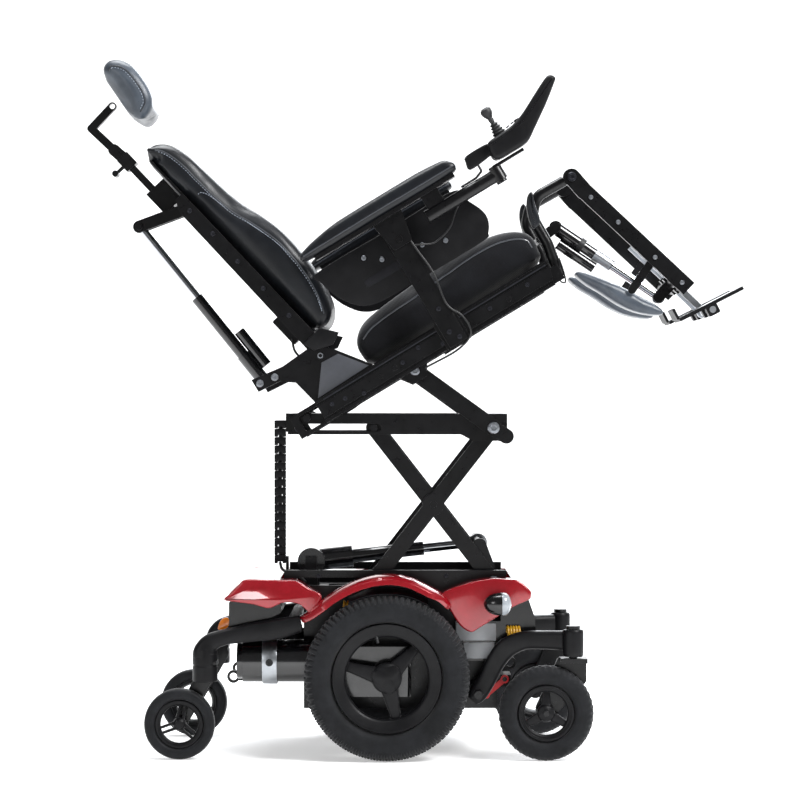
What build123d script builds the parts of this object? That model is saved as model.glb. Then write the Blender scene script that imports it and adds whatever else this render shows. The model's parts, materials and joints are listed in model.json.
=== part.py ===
"""Power wheelchair: sprung drive base, scissor seat lift, tilting seat, reclining back, elevating legrest.

Frame: +X forward, +Y to the user's left, +Z up, millimetres, floor at Z = 0.
Side profiles are drawn in upright planes whose local x runs along a stated direction.
"""
from build123d import *
from math import cos, radians, sin, sqrt
import os

os.makedirs("parts", exist_ok=True)

# ---------------------------------------------------------------- driving dimensions, mm
RUNNING_GAP = 0.05        # radial gap of a pin in its hole
SIDE_GAP = 0.5            # gap between plates that turn beside each other
SEAT_GAP = 0.3            # gap between a seated piece and what carries it
OPEN_PIVOT_GAP = 6.5      # radial gap at a linkage's opened pivot
SHELL = 3.0               # wall of the moulded covers

ORIGIN_SHIFT = 15.85       # from the layout datum to the middle of the overall length

# drive wheels
WHEEL_R = 177.5
WHEEL_X = -68.0
WHEEL_WIDTH = 74.0
WHEEL_Y = 260.0
RIM_R = 118.0
AXLE_R = 10.0

# front casters
FRONT_R = 102.0
FRONT_X = 272.0
FRONT_WIDTH = 44.0
FRONT_Y = 251.0
FRONT_SWIVEL_X = 330.0
FRONT_ARM_PIVOT = (128.0, 138.0)

# rear casters
REAR_R = 76.0
REAR_X = -513.0
REAR_WIDTH = 38.0
REAR_Y = 225.0
REAR_SWIVEL_X = -458.0

STEM_R = 9.0              # caster stems
CASTER_AXLE_R = 6.0

# chassis
CHASSIS_REAR = -250.0
CHASSIS_FRONT = 172.0
CHASSIS_HALF = 118.0
CHASSIS_BOTTOM = 98.0
CHASSIS_TOP = 349.7
CHASSIS_WALL = 5.0

# scissor lift
LIFT_PIVOT = (162.0, 377.5)
LIFT_TOP_PIVOT = (162.0, 710.5)
LIFT_ROLLER_X = -97.0
LIFT_ROLLER_LOW_X = -256.0
LIFT_ARM_WIDTH = 34.0
LIFT_PIN_R = 8.0
LIFT_FRAME_X = (-291.0, 190.0)
LIFT_FRAME_Z = (350.0, 402.0)
BEAM_X = (-283.0, 192.0)
BEAM_Z = (696.0, 741.0)
ARM_B_Y = (138.0, 146.0)
ARM_A_Y = (148.0, 156.0)
FRAME_Y = (158.0, 170.0)
STRUT_Y = (172.0, 180.0)
LUG_Y = (184.0, 194.0)
LIFT_MOTOR = (-236.0, 414.0)
LIFT_MOTOR_R = 30.0
KNEE_OFFSET = (-28.8, 77.1)
KNEE_PIN_R = 7.0

# drag chain
CHAIN_X = -306.0
CHAIN_LINK = (25.0, 34.0)
CHAIN_PITCH = 18.7
CHAIN_BOTTOM = 408.0

# tilt
TILT_REAR = (-241.6, 731.6)
TILT_SEAT = (-7.6, 833.2)
TILT_SLOT = 66.0

# seat, in its own slanted frame
SEAT_ORIGIN = (-209.0, 743.0)
SEAT_ANGLE = 31.2
RAIL_LENGTH = 583.0
RAIL_V = (-25.0, 28.0)
RAIL_Y = (215.0, 240.0)
PAN_T = 4.0
CUSHION_HALF = 212.0
POST_U = 330.0
POST_WIDTH = 43.0
POST_Y = (243.0, 263.0)
FLIP_UV = (336.0, 230.0)
PAD_Y = 265.0
PAD_WIDTH = 70.0
PAD_V = (291.0, 326.0)
PAD_U = (132.0, 522.0)

# back, in its own slanted frame from the recline pivot
RECLINE_UV = (62.0, 106.0)
BACK_ANGLE = 133.5
CANE_Y = (188.0, 210.0)
BACK_CUSHION_HALF = 212.0
RECLINE_PIN_R = 8.0
ACTUATOR_Y = -70.0
RECLINE_FOOT_UV = (-75.0, 126.0)
RECLINE_HEAD_UV = (483.0, 95.0)

# headrest
HEADREST_HALF = 120.0

# legrest
KNEE_UV = (726.0, 156.0)
LEG_ANGLE = -43.1
LEG_Y = 162.0
FOOT_PIVOT_U = 418.0
LEG_FOOT_UV = (319.0, -52.0)
LEG_HEAD_UV = (49.0, -95.0)
LEG_ACTUATOR_Y = -60.0
FOOTPLATE_HALF = 186.0

# joystick
JOY_Y = -267.0
ROLL_PIN_R = 2.0

SIDES = {"left": 1.0, "right": -1.0}


# ---------------------------------------------------------------- frames and shared shapes
def place(origin, angle, u, v):
    """World X and Z of a point given along and square to a direction."""
    turn = radians(angle)
    return (origin[0] + u * cos(turn) - v * sin(turn), origin[1] + u * sin(turn) + v * cos(turn))


def side_plane(y, origin=(0.0, 0.0), angle=0.0):
    """Upright plane at y, local x along the angle, local y square to it and up."""
    turn = radians(angle)
    return Plane(origin=(origin[0], y, origin[1]), x_dir=(cos(turn), 0, sin(turn)), z_dir=(0, -1, 0))


def plate(outline, y_range, origin=(0.0, 0.0), angle=0.0, corner=0.0, mode=Mode.ADD):
    """Plate with a side outline, between two Y values."""
    low, high = sorted(y_range)
    with BuildSketch(side_plane(high, origin, angle)) as profile:
        with BuildLine():
            Polyline(*outline, close=True)
        make_face()
        if corner > 0:
            fillet(profile.vertices(), corner)
    extrude(profile.sketch, amount=high - low, mode=mode)


def disc(centre, radius, y_range, mode=Mode.ADD):
    """Round piece along Y."""
    low, high = sorted(y_range)
    with BuildSketch(side_plane(high, centre)) as profile:
        Circle(radius)
    extrude(profile.sketch, amount=high - low, mode=mode)


def bar(start, end, width, y_range, mode=Mode.ADD):
    """Round-ended bar between two side points."""
    low, high = sorted(y_range)
    run = Vector(end[0] - start[0], 0, end[1] - start[1])
    middle = ((start[0] + end[0]) / 2, high, (start[1] + end[1]) / 2)
    with BuildSketch(Plane(origin=middle, x_dir=run, z_dir=(0, -1, 0))) as profile:
        SlotCenterToCenter(run.length, width)
    extrude(profile.sketch, amount=high - low, mode=mode)


def rod(start, end, radius, mode=Mode.ADD):
    """Round rod between two points in space."""
    run = Vector(*end) - Vector(*start)
    with BuildSketch(Plane(origin=start, z_dir=run)) as profile:
        Circle(radius)
    extrude(profile.sketch, amount=run.length, mode=mode)


def block(x_range, y_range, z_range, mode=Mode.ADD, corner=0.0):
    """Upright block between three ranges, with its standing corners rounded."""
    (x_0, x_1), (y_0, y_1), (z_0, z_1) = sorted(x_range), sorted(y_range), sorted(z_range)
    with BuildSketch(Plane(origin=((x_0 + x_1) / 2, (y_0 + y_1) / 2, z_0), z_dir=(0, 0, 1))) as profile:
        if corner > 0:
            RectangleRounded(x_1 - x_0, y_1 - y_0, corner)
        else:
            Rectangle(x_1 - x_0, y_1 - y_0)
    extrude(profile.sketch, amount=z_1 - z_0, mode=mode)


def tube(points, radius, bend, mode=Mode.ADD):
    """Round bar bent along straight runs joined by arcs."""
    with BuildLine() as path:
        FilletPolyline(*points, radius=bend)
    with BuildSketch(Plane(origin=path.line @ 0, z_dir=path.line % 0)) as section:
        Circle(radius)
    sweep(section.sketch, path=path.line, mode=mode)


def turned(profile_points, centre, y_centre, side, mode=Mode.ADD):
    """Solid turned about an axis along Y; points are (radius, distance outward)."""
    plane = Plane(origin=(centre[0], y_centre, centre[1]), x_dir=(0, 0, 1), z_dir=(1, 0, 0))
    with BuildSketch(plane) as profile:
        with BuildLine():
            Polyline(*[(radius, -side * out) for radius, out in profile_points], close=True)
        make_face()
    revolve(profile.sketch, axis=Axis((centre[0], 0, centre[1]), (0, 1, 0)), mode=mode)


def both(y_range):
    """The same Y range on the right and on the left."""
    low, high = y_range
    return ((-high, -low), (low, high))


def outward(side, inner, outer):
    """Y range between two distances from the centre plane on one side."""
    return tuple(sorted((side * inner, side * outer)))


def save(builder, name):
    """Set a finished sub-part over the common origin, label it and write its file."""
    placed = builder.part.moved(Location((ORIGIN_SHIFT, 0, 0)))
    placed.label = name
    export_step(placed, f"parts/{name}.step")


def seat_point(u, v):
    """World X and Z of a seat-frame point."""
    return place(SEAT_ORIGIN, SEAT_ANGLE, u, v)


RECLINE = seat_point(*RECLINE_UV)
KNEE = seat_point(*KNEE_UV)
LIFT_CROSS = ((LIFT_PIVOT[0] + LIFT_ROLLER_X) / 2, (LIFT_PIVOT[1] + LIFT_TOP_PIVOT[1]) / 2)
LIFT_KNEE = (LIFT_PIVOT[0] + KNEE_OFFSET[0], LIFT_PIVOT[1] + KNEE_OFFSET[1])
HOLE_R = LIFT_PIN_R + RUNNING_GAP


def back_point(u, v):
    """World X and Z of a point in the back's frame."""
    return place(RECLINE, BACK_ANGLE, u, v)


def leg_point(u, v):
    """World X and Z of a point in the legrest's frame."""
    return place(KNEE, LEG_ANGLE, u, v)


# ---------------------------------------------------------------- drive base
def chassis_frame():
    """Welded tray that carries the batteries, with tie-down eyes and arm pivots."""
    eye_r = 14.0
    eye_hole_r = 8.0
    eye_half = 4.0
    with BuildPart() as frame:
        block((CHASSIS_REAR, CHASSIS_FRONT), (-CHASSIS_HALF, CHASSIS_HALF), (CHASSIS_BOTTOM, CHASSIS_TOP))
        block((CHASSIS_REAR + CHASSIS_WALL, CHASSIS_FRONT - CHASSIS_WALL),
              (CHASSIS_WALL - CHASSIS_HALF, CHASSIS_HALF - CHASSIS_WALL),
              (CHASSIS_BOTTOM + CHASSIS_WALL, CHASSIS_TOP), Mode.SUBTRACT)
        for side in SIDES.values():
            disc(FRONT_ARM_PIVOT, STEM_R, outward(side, CHASSIS_HALF - CHASSIS_WALL, 238.0))
            disc(FRONT_ARM_PIVOT, 22.0, outward(side, CHASSIS_HALF - CHASSIS_WALL, 176.0))
            disc((186.0, 168.0), 5.0, outward(side, CHASSIS_HALF + 20.0, 190.0))
            block((CHASSIS_FRONT - 2.0, 200.0), outward(side, CHASSIS_HALF - 30.0, 176.0), (150.0, 176.0))
            plate([(-392.0, 158.0), (-392.0, 174.0), (-246.0, 174.0), (-246.0, 158.0)],
                  outward(side, 96.0, 112.0))
            rear_eye = (-404.0, 166.0)
            disc(rear_eye, eye_r, outward(side, 104.0 - eye_half, 104.0 + eye_half))
            disc(rear_eye, eye_hole_r, outward(side, 90.0, 120.0), Mode.SUBTRACT)
            front_eye = (200.0, 196.0)
            plate([(CHASSIS_FRONT - 2.0, 186.0), (CHASSIS_FRONT - 2.0, 206.0), (200.0, 206.0), (200.0, 186.0)],
                  outward(side, 100.0, 108.0))
            disc(front_eye, eye_r, outward(side, 104.0 - eye_half, 104.0 + eye_half))
            disc(front_eye, eye_hole_r, outward(side, 90.0, 120.0), Mode.SUBTRACT)
    save(frame, "chassis_frame")


def battery_pack():
    """Two sealed batteries with a carrying lip, side by side in the tray."""
    clearance = 3.0
    split_x = -38.0
    with BuildPart() as batteries:
        floor = CHASSIS_BOTTOM + CHASSIS_WALL + SEAT_GAP
        inner = CHASSIS_HALF - CHASSIS_WALL - clearance
        block((CHASSIS_REAR + CHASSIS_WALL + clearance, split_x - clearance), (-inner, inner),
              (floor, floor + 178.0), corner=6.0)
        block((split_x + clearance, CHASSIS_FRONT - CHASSIS_WALL - clearance), (-inner, inner),
              (floor, floor + 178.0), corner=6.0)
    save(batteries, "battery_pack")


def control_module():
    """Finned power module lying on the batteries."""
    base_z = CHASSIS_BOTTOM + CHASSIS_WALL + SEAT_GAP + 178.0 + SEAT_GAP
    with BuildPart() as module:
        block((-190.0, 40.0), (-80.0, 80.0), (base_z, base_z + 30.0), corner=8.0)
        for row in range(8):
            x_fin = -175.0 + row * 28.0
            block((x_fin, x_fin + 8.0), (-70.0, 70.0), (base_z + 29.0, base_z + 40.0))
    save(module, "control_module")


def base_housing():
    """Black moulded shroud: a rear shell, a front shell and two side skirts."""
    with BuildPart() as housing:
        rear = [(-409.0, 334.0), (-409.0, 268.0), (-396.0, 262.0), (-296.0, 312.0), (-296.0, 344.0), (-394.0, 344.0)]
        plate(rear, (-196.0, 196.0), corner=2.0)
        inner = [(-405.0, 352.0), (-405.0, 272.0), (-396.0, 267.0), (-299.0, 316.0), (-299.0, 352.0)]
        plate(inner, (SHELL - 196.0, 196.0 - SHELL), mode=Mode.SUBTRACT)
        for side in SIDES.values():
            block((-298.0, CHASSIS_REAR - SEAT_GAP), outward(side, 60.0, 110.0), (334.0, 340.0))
        front = [(178.0, 252.0), (238.0, 256.0), (254.0, 270.0), (252.0, 300.0), (236.0, 346.0), (178.0, 346.0)]
        plate(front, (-170.0, 170.0), corner=6.0)
        hollow = [(174.0, 257.0), (236.0, 261.0), (249.0, 272.0), (247.0, 298.0), (232.0, 341.0), (174.0, 341.0)]
        plate(hollow, (SHELL - 170.0, 170.0 - SHELL), mode=Mode.SUBTRACT)
        for side in SIDES.values():
            plate([(80.0, 246.0), (178.0, 246.0), (178.0, 292.0), (80.0, 292.0)], outward(side, 164.0, 170.0))
            plate([(96.0, 206.0), (168.0, 206.0), (168.0, 247.0), (96.0, 247.0)], outward(side, 164.0, 170.0))
            block((150.0, 168.0), outward(side, CHASSIS_HALF + SEAT_GAP, 166.0), (210.0, 240.0))
    save(housing, "base_housing")


def rear_cover():
    """Glossy rear cover: a cap across the back with a wing down to each wheel arch."""
    outer = [(-417.0, 343.0), (-388.0, 372.0), (-376.0, 388.0), (-316.0, 384.0), (-262.0, 384.0),
             (-208.0, 352.0), (-229.0, 306.0), (-256.0, 334.0), (-292.0, 336.0), (-318.0, 324.0),
             (-356.0, 333.0), (-404.0, 339.0)]
    inner = [(-406.0, 336.0), (-385.0, 368.0), (-374.0, 384.0), (-316.0, 380.0), (-263.0, 380.0),
             (-213.0, 351.0), (-229.0, 314.0), (-250.0, 318.0), (-292.0, 318.0), (-318.0, 318.0),
             (-356.0, 318.0), (-400.0, 330.0)]
    wing_y = 245.0
    with BuildPart() as cover:
        plate(outer, (-wing_y, wing_y))
        plate(inner, (SHELL - wing_y, wing_y - SHELL), mode=Mode.SUBTRACT)
        well = FRAME_Y[1] + 6.0
        block((LIFT_FRAME_X[0] - 6.0, -180.0), (-well, well), (290.0, 400.0), Mode.SUBTRACT)
        for side in SIDES.values():
            block((-382.0, -362.0), outward(side, 188.0, 200.0), (344.0 + SEAT_GAP, 383.0))
    save(cover, "rear_cover")


def front_cover():
    """Glossy front cover: a wing each side that ends in a scooped point, joined by a nose."""
    outer = [(50.0, 356.0), (78.0, 302.0), (104.0, 275.0), (124.0, 275.0), (168.0, 306.0), (202.0, 327.0),
             (236.0, 343.0), (240.0, 362.0), (214.0, 386.0), (150.0, 388.0), (96.0, 376.0)]
    inner = [(58.0, 354.0), (82.0, 306.0), (106.0, 279.0), (124.0, 270.0), (168.0, 301.0), (202.0, 322.0),
             (230.0, 342.0), (235.0, 360.0), (212.0, 382.0), (150.0, 384.0), (97.0, 372.0)]
    wing_y = 245.0
    with BuildPart() as cover:
        plate(outer, (-wing_y, wing_y))
        plate(inner, (SHELL - wing_y, wing_y - SHELL), mode=Mode.SUBTRACT)
        well = FRAME_Y[1] + 6.0
        block((0.0, LIFT_FRAME_X[1] + 6.0), (-well, well), (250.0, 400.0), Mode.SUBTRACT)
        block((190.0, 260.0), (-well, well), (250.0, 350.0), Mode.SUBTRACT)
        for side in SIDES.values():
            block((204.0, 222.0), outward(side, 158.0, 169.0), (346.0 + SEAT_GAP, 384.0))
    save(cover, "front_cover")


def drive_motors():
    """Brushed motors with right-angle gearboxes, clamp bands and the wheel axles."""
    motor_y = 166.0
    motor_r = 46.0
    motor_z = 206.0
    with BuildPart() as motors:
        for side in SIDES.values():
            rod((-380.0, side * motor_y, motor_z), (-186.0, side * motor_y, motor_z), motor_r)
            rod((-392.0, side * motor_y, motor_z), (-378.0, side * motor_y, motor_z), motor_r - 8.0)
            rod((-336.0, side * motor_y, motor_z), (-306.0, side * motor_y, motor_z), motor_r + 2.0)
            block((-188.0, -16.0), outward(side, CHASSIS_HALF + SEAT_GAP, 212.0), (132.0, 240.0), corner=10.0)
            disc((WHEEL_X, WHEEL_R), 34.0, outward(side, 210.0, 219.0))
            disc((WHEEL_X, WHEEL_R), AXLE_R, outward(side, 210.0, 268.0))
    save(motors, "drive_motors")


def drive_wheel(name, side):
    """Pneumatic tyre on a three-spoke rim, bored for the motor axle."""
    half = WHEEL_WIDTH / 2
    centre = (WHEEL_X, WHEEL_R)
    tread_drop = 4.0
    with BuildPart() as wheel:
        tyre = [(RIM_R, -30.0), (146.0, -half), (162.0, -half), (WHEEL_R - tread_drop, -30.0), (WHEEL_R, -16.0),
                (WHEEL_R, 16.0), (WHEEL_R - tread_drop, 30.0), (162.0, half), (146.0, half), (RIM_R, 30.0)]
        turned(tyre, centre, side * WHEEL_Y, side)
        rim = [(RIM_R - 0.01, -31.0), (RIM_R - 0.01, 31.0), (92.0, 31.0), (88.0, 22.0), (104.0, 16.0),
               (104.0, -22.0), (96.0, -31.0)]
        turned(rim, centre, side * WHEEL_Y, side)
        hub = [(AXLE_R + RUNNING_GAP, -34.0), (32.0, -34.0), (32.0, 18.0), (AXLE_R + RUNNING_GAP, 18.0)]
        turned(hub, centre, side * WHEEL_Y, side)
        cap = [(0.0, 12.0), (32.0, 12.0), (32.0, 18.0), (26.0, 26.0), (0.0, 26.0)]
        turned(cap, centre, side * WHEEL_Y, side)
        for spoke_angle in (46.0, 164.0, 283.0):
            turn = radians(spoke_angle)
            tip = (centre[0] + 106.0 * cos(turn), centre[1] + 106.0 * sin(turn))
            root = (centre[0] + 24.0 * cos(turn), centre[1] + 24.0 * sin(turn))
            bar(root, tip, 26.0, outward(side, WHEEL_Y - 2.0, WHEEL_Y + 14.0))
        disc(centre, AXLE_R + RUNNING_GAP, outward(side, WHEEL_Y - 40.0, WHEEL_Y + 9.0), Mode.SUBTRACT)
    save(wheel, name)


def caster_wheel(name, side, centre, y_centre, width, radius, hub_r):
    """Solid-tyred caster wheel, bored for its axle."""
    half = width / 2
    bore = CASTER_AXLE_R + RUNNING_GAP
    with BuildPart() as wheel:
        tyre = [(hub_r, -half + 4.0), (radius - 14.0, -half), (radius - 4.0, -half + 5.0), (radius, -half + 14.0),
                (radius, half - 14.0), (radius - 4.0, half - 5.0), (radius - 14.0, half), (hub_r, half - 4.0)]
        turned(tyre, centre, side * y_centre, side)
        hub = [(bore, -half + 2.0), (22.0, -half + 2.0), (24.0, -7.0), (hub_r - 8.0, -7.0),
               (hub_r - 5.0, -half + 5.0), (hub_r - 0.01, -half + 5.0), (hub_r - 0.01, half - 5.0),
               (hub_r - 5.0, half - 5.0), (hub_r - 8.0, 7.0), (24.0, 7.0), (22.0, half - 2.0), (bore, half - 2.0)]
        turned(hub, centre, side * y_centre, side)
    save(wheel, name)


def front_caster_arm(name, side):
    """Sprung arm that carries a front caster's swivel barrel."""
    arm = [(118.0, 116.0), (104.0, 138.0), (132.0, 172.0), (160.0, 218.0), (190.0, 252.0), (226.0, 273.0),
           (316.0, 277.0), (316.0, 232.0), (232.0, 232.0), (200.0, 224.0), (178.0, 196.0), (158.0, 150.0),
           (140.0, 118.0)]
    with BuildPart() as sprung_arm:
        plate(arm, outward(side, 196.0, 216.0), corner=5.0)
        plate([(150.0, 216.0), (190.0, 252.0), (226.0, 273.0), (318.0, 277.0), (318.0, 232.0), (232.0, 232.0),
               (200.0, 224.0), (180.0, 206.0)], outward(side, 196.0, 240.0), corner=4.0)
        rod((FRONT_SWIVEL_X, side * FRONT_Y, 222.0), (FRONT_SWIVEL_X, side * FRONT_Y, 280.0), 21.0)
        rod((FRONT_SWIVEL_X, side * FRONT_Y, 218.0), (FRONT_SWIVEL_X, side * FRONT_Y, 284.0),
            STEM_R + RUNNING_GAP, Mode.SUBTRACT)
        disc(FRONT_ARM_PIVOT, STEM_R + RUNNING_GAP, outward(side, 190.0, 244.0), Mode.SUBTRACT)
    save(sprung_arm, name)


def front_fork(name, side):
    """One-sided fork inboard of the front caster, with its stem and axle."""
    centre = (FRONT_X, FRONT_R)
    leg = outward(side, FRONT_Y - FRONT_WIDTH / 2 - 14.0, FRONT_Y - FRONT_WIDTH / 2 - 3.0)
    with BuildPart() as fork:
        plate([(258.0, 88.0), (250.0, 110.0), (300.0, 219.0), (360.0, 219.0), (360.0, 166.0), (290.0, 90.0)],
              leg, corner=8.0)
        block((303.0, 360.0), outward(side, FRONT_Y - FRONT_WIDTH / 2 - 14.0, FRONT_Y + 20.0), (209.0, 219.0))
        rod((FRONT_SWIVEL_X, side * FRONT_Y, 215.0), (FRONT_SWIVEL_X, side * FRONT_Y, 284.0), STEM_R)
        rod((FRONT_SWIVEL_X, side * FRONT_Y, 281.0), (FRONT_SWIVEL_X, side * FRONT_Y, 288.0), 15.0)
        disc(centre, CASTER_AXLE_R, outward(side, FRONT_Y - FRONT_WIDTH / 2 - 14.0, FRONT_Y + FRONT_WIDTH / 2))
        disc(centre, 12.0, outward(side, FRONT_Y - FRONT_WIDTH / 2 - 14.0, FRONT_Y - FRONT_WIDTH / 2 + 1.0))
    save(fork, name)


def rear_caster_arms():
    """Rear arms with swivel barrels, joined by a cross tube behind the tray."""
    arm = [(-250.0, 309.0), (-300.0, 303.0), (-362.0, 290.0), (-434.0, 274.0), (-474.0, 254.0), (-484.0, 218.0),
           (-430.0, 218.0), (-414.0, 240.0), (-398.0, 248.0), (-340.0, 256.0), (-250.0, 272.0)]
    with BuildPart() as arms:
        for side in SIDES.values():
            plate(arm, outward(side, 204.0, 242.0), corner=4.0)
            swivel = (REAR_SWIVEL_X, side * REAR_Y)
            rod((*swivel, 166.0), (*swivel, 236.0), 27.0)
            rod((*swivel, 160.0), (*swivel, 222.0), STEM_R + RUNNING_GAP, Mode.SUBTRACT)
            rod((*swivel, 200.0), (*swivel, 222.0), 16.0, Mode.SUBTRACT)
        disc((-272.0, 290.0), 13.0, (-220.0, 220.0))
        for side in SIDES.values():
            block((-290.0, CHASSIS_REAR - SEAT_GAP), outward(side, 70.0, 90.0), (262.0, 306.0))
    save(arms, "rear_caster_arms")


def rear_fork(name, side):
    """Two-legged rear caster fork with its stem and axle."""
    half = REAR_WIDTH / 2
    leg = [(-526.0, 66.0), (-534.0, 84.0), (-488.0, 163.0), (-432.0, 163.0), (-432.0, 154.0), (-504.0, 64.0)]
    with BuildPart() as fork:
        for inner in (REAR_Y - half - 9.0, REAR_Y + half + 3.0):
            plate(leg, outward(side, inner, inner + 6.0), corner=3.0)
        block((-488.0, -432.0), outward(side, REAR_Y - half - 9.0, REAR_Y + half + 9.0), (155.0, 163.0))
        rod((REAR_SWIVEL_X, side * REAR_Y, 160.0), (REAR_SWIVEL_X, side * REAR_Y, 208.0), STEM_R)
        rod((REAR_SWIVEL_X, side * REAR_Y, 203.0), (REAR_SWIVEL_X, side * REAR_Y, 212.0), 14.0)
        disc((REAR_X, REAR_R), CASTER_AXLE_R, outward(side, REAR_Y - half - 9.0, REAR_Y + half + 9.0))
    save(fork, name)


def freewheel_lever(name, side):
    """Lever that releases a motor brake."""
    pivot = (186.0, 168.0)
    with BuildPart() as lever:
        bar(pivot, (146.0, 134.0), 12.0, outward(side, 181.0, 187.0))
        disc(pivot, 9.0, outward(side, 178.0, 189.0))
        disc((146.0, 134.0), 8.0, outward(side, 179.0, 190.0))
        disc(pivot, 5.0 + RUNNING_GAP, outward(side, 170.0, 195.0), Mode.SUBTRACT)
    save(lever, name)


def front_lamps():
    """Bullet lamps with lenses, on stalks beside the front cover."""
    lamp_y = 272.0
    lamp_z = 336.0
    with BuildPart() as lamps:
        for side in SIDES.values():
            plane = Plane(origin=(138.0, side * lamp_y, lamp_z), x_dir=(0, 0, 1), z_dir=(0, 1, 0))
            with BuildSketch(plane) as shell:
                with BuildLine():
                    Polyline((0, 0), (12, 2), (20, 12), (25, 30), (25, 34), (0, 34), close=True)
                make_face()
            revolve(shell.sketch, axis=Axis((0, side * lamp_y, lamp_z), (1, 0, 0)))
            rod((172.3, side * lamp_y, lamp_z), (198.0, side * lamp_y, lamp_z), 25.0)
            rod((156.0, side * (245.0 + SEAT_GAP), lamp_z), (156.0, side * 254.0, lamp_z), 6.0)
    save(lamps, "front_lamps")


# ---------------------------------------------------------------- seat lift
def slot(x_range, z, y_range):
    """Roller slot cut through a side plate."""
    bar((x_range[0], z), (x_range[1], z), 2 * LIFT_PIN_R + 0.8, y_range, Mode.SUBTRACT)


def lift_base_frame():
    """Lower lift frame: slotted side plates, a floor plate, pivot pins and the motor ears."""
    low, high = LIFT_FRAME_X
    with BuildPart() as frame:
        for y_range in both(FRAME_Y):
            block((low, high), y_range, LIFT_FRAME_Z)
            slot((LIFT_ROLLER_LOW_X - 4.0, LIFT_ROLLER_X + 8.0), LIFT_PIVOT[1], y_range)
        block((low, high), (-FRAME_Y[0], FRAME_Y[0]), (LIFT_FRAME_Z[0], LIFT_FRAME_Z[0] + 6.0))
        block((-200.0, 110.0), (-100.0, 100.0), (LIFT_FRAME_Z[0] - 1.0, LIFT_FRAME_Z[0] + 7.0), Mode.SUBTRACT)
        for side in SIDES.values():
            disc(LIFT_PIVOT, LIFT_PIN_R, outward(side, ARM_B_Y[0] - 6.0, FRAME_Y[1] + 4.0))
            plate([(LIFT_MOTOR[0] - 16.0, 352.0), (LIFT_MOTOR[0] - 12.0, LIFT_MOTOR[1] + 12.0),
                   (LIFT_MOTOR[0] + 12.0, LIFT_MOTOR[1] + 12.0), (LIFT_MOTOR[0] + 16.0, 352.0)],
                  outward(side, 50.0, 56.0))
            disc(LIFT_MOTOR, KNEE_PIN_R, outward(side, 40.0, 56.0))
        block((CHAIN_X + CHAIN_LINK[0] / 2 + SEAT_GAP, low + 4.0), (-15.0, 15.0), (LIFT_FRAME_Z[0], 424.0))
    save(frame, "lift_base_frame")


def lift_arm(name, end_low, end_high, y_range, low_pin, high_pin, carries_cross, pin_reach):
    """One pair of scissor arm plates with the pins they carry."""
    with BuildPart() as arm:
        for side in SIDES.values():
            layer = outward(side, *y_range)
            bar(end_low, end_high, LIFT_ARM_WIDTH, layer)
            disc(LIFT_CROSS, 24.0, layer)
            for point, is_pin in ((end_low, low_pin), (end_high, high_pin)):
                if is_pin:
                    disc(point, LIFT_PIN_R, outward(side, y_range[0], pin_reach))
                else:
                    disc(point, HOLE_R, layer, Mode.SUBTRACT)
            if carries_cross:
                disc(LIFT_CROSS, LIFT_PIN_R, outward(side, y_range[0], ARM_A_Y[1]))
            else:
                disc(LIFT_CROSS, HOLE_R, layer, Mode.SUBTRACT)
        if carries_cross:
            for side in SIDES.values():
                bar(LIFT_PIVOT, LIFT_KNEE, 30.0, outward(side, y_range[0] - 12.0, y_range[0]))
                disc(LIFT_PIVOT, HOLE_R, outward(side, y_range[0] - 14.0, y_range[1]), Mode.SUBTRACT)
            disc(LIFT_KNEE, KNEE_PIN_R, (-y_range[0], y_range[0]))
        else:
            cross_tube = (LIFT_CROSS[0] + 111.4, LIFT_CROSS[1] + 143.2)
            disc(cross_tube, 11.0, (-y_range[1], y_range[1]))
    save(arm, name)


def upper_beam():
    """Upper lift frame: slotted side plates, top plate, and the pins of the tilt linkage."""
    low, high = BEAM_X
    with BuildPart() as beam:
        for y_range in both(FRAME_Y):
            block((low, high), y_range, BEAM_Z)
            plate([(84.0, 700.0), (118.0, 682.0), (170.0, 682.0), (192.0, 700.0)], y_range)
            disc(TILT_REAR, 14.0, y_range)
            slot((LIFT_ROLLER_LOW_X - 4.0, LIFT_ROLLER_X + 8.0), LIFT_TOP_PIVOT[1], y_range)
        block((low, high), (-FRAME_Y[0], FRAME_Y[0]), (BEAM_Z[1] - 6.0, BEAM_Z[1]))
        block((-215.0, 90.0), (-110.0, 110.0), (BEAM_Z[1] - 8.0, BEAM_Z[1] + 2.0), Mode.SUBTRACT)
        block((CHAIN_X + CHAIN_LINK[0] / 2 + SEAT_GAP, low + 4.0), (-15.0, 15.0), (BEAM_Z[1] - 41.0, BEAM_Z[1]))
        for side in SIDES.values():
            disc(LIFT_TOP_PIVOT, LIFT_PIN_R, outward(side, ARM_A_Y[0] - 4.0, STRUT_Y[1] + 2.0))
            disc(TILT_REAR, LIFT_PIN_R, outward(side, FRAME_Y[0], LUG_Y[1] + 2.0))
    save(beam, "upper_beam")


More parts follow.
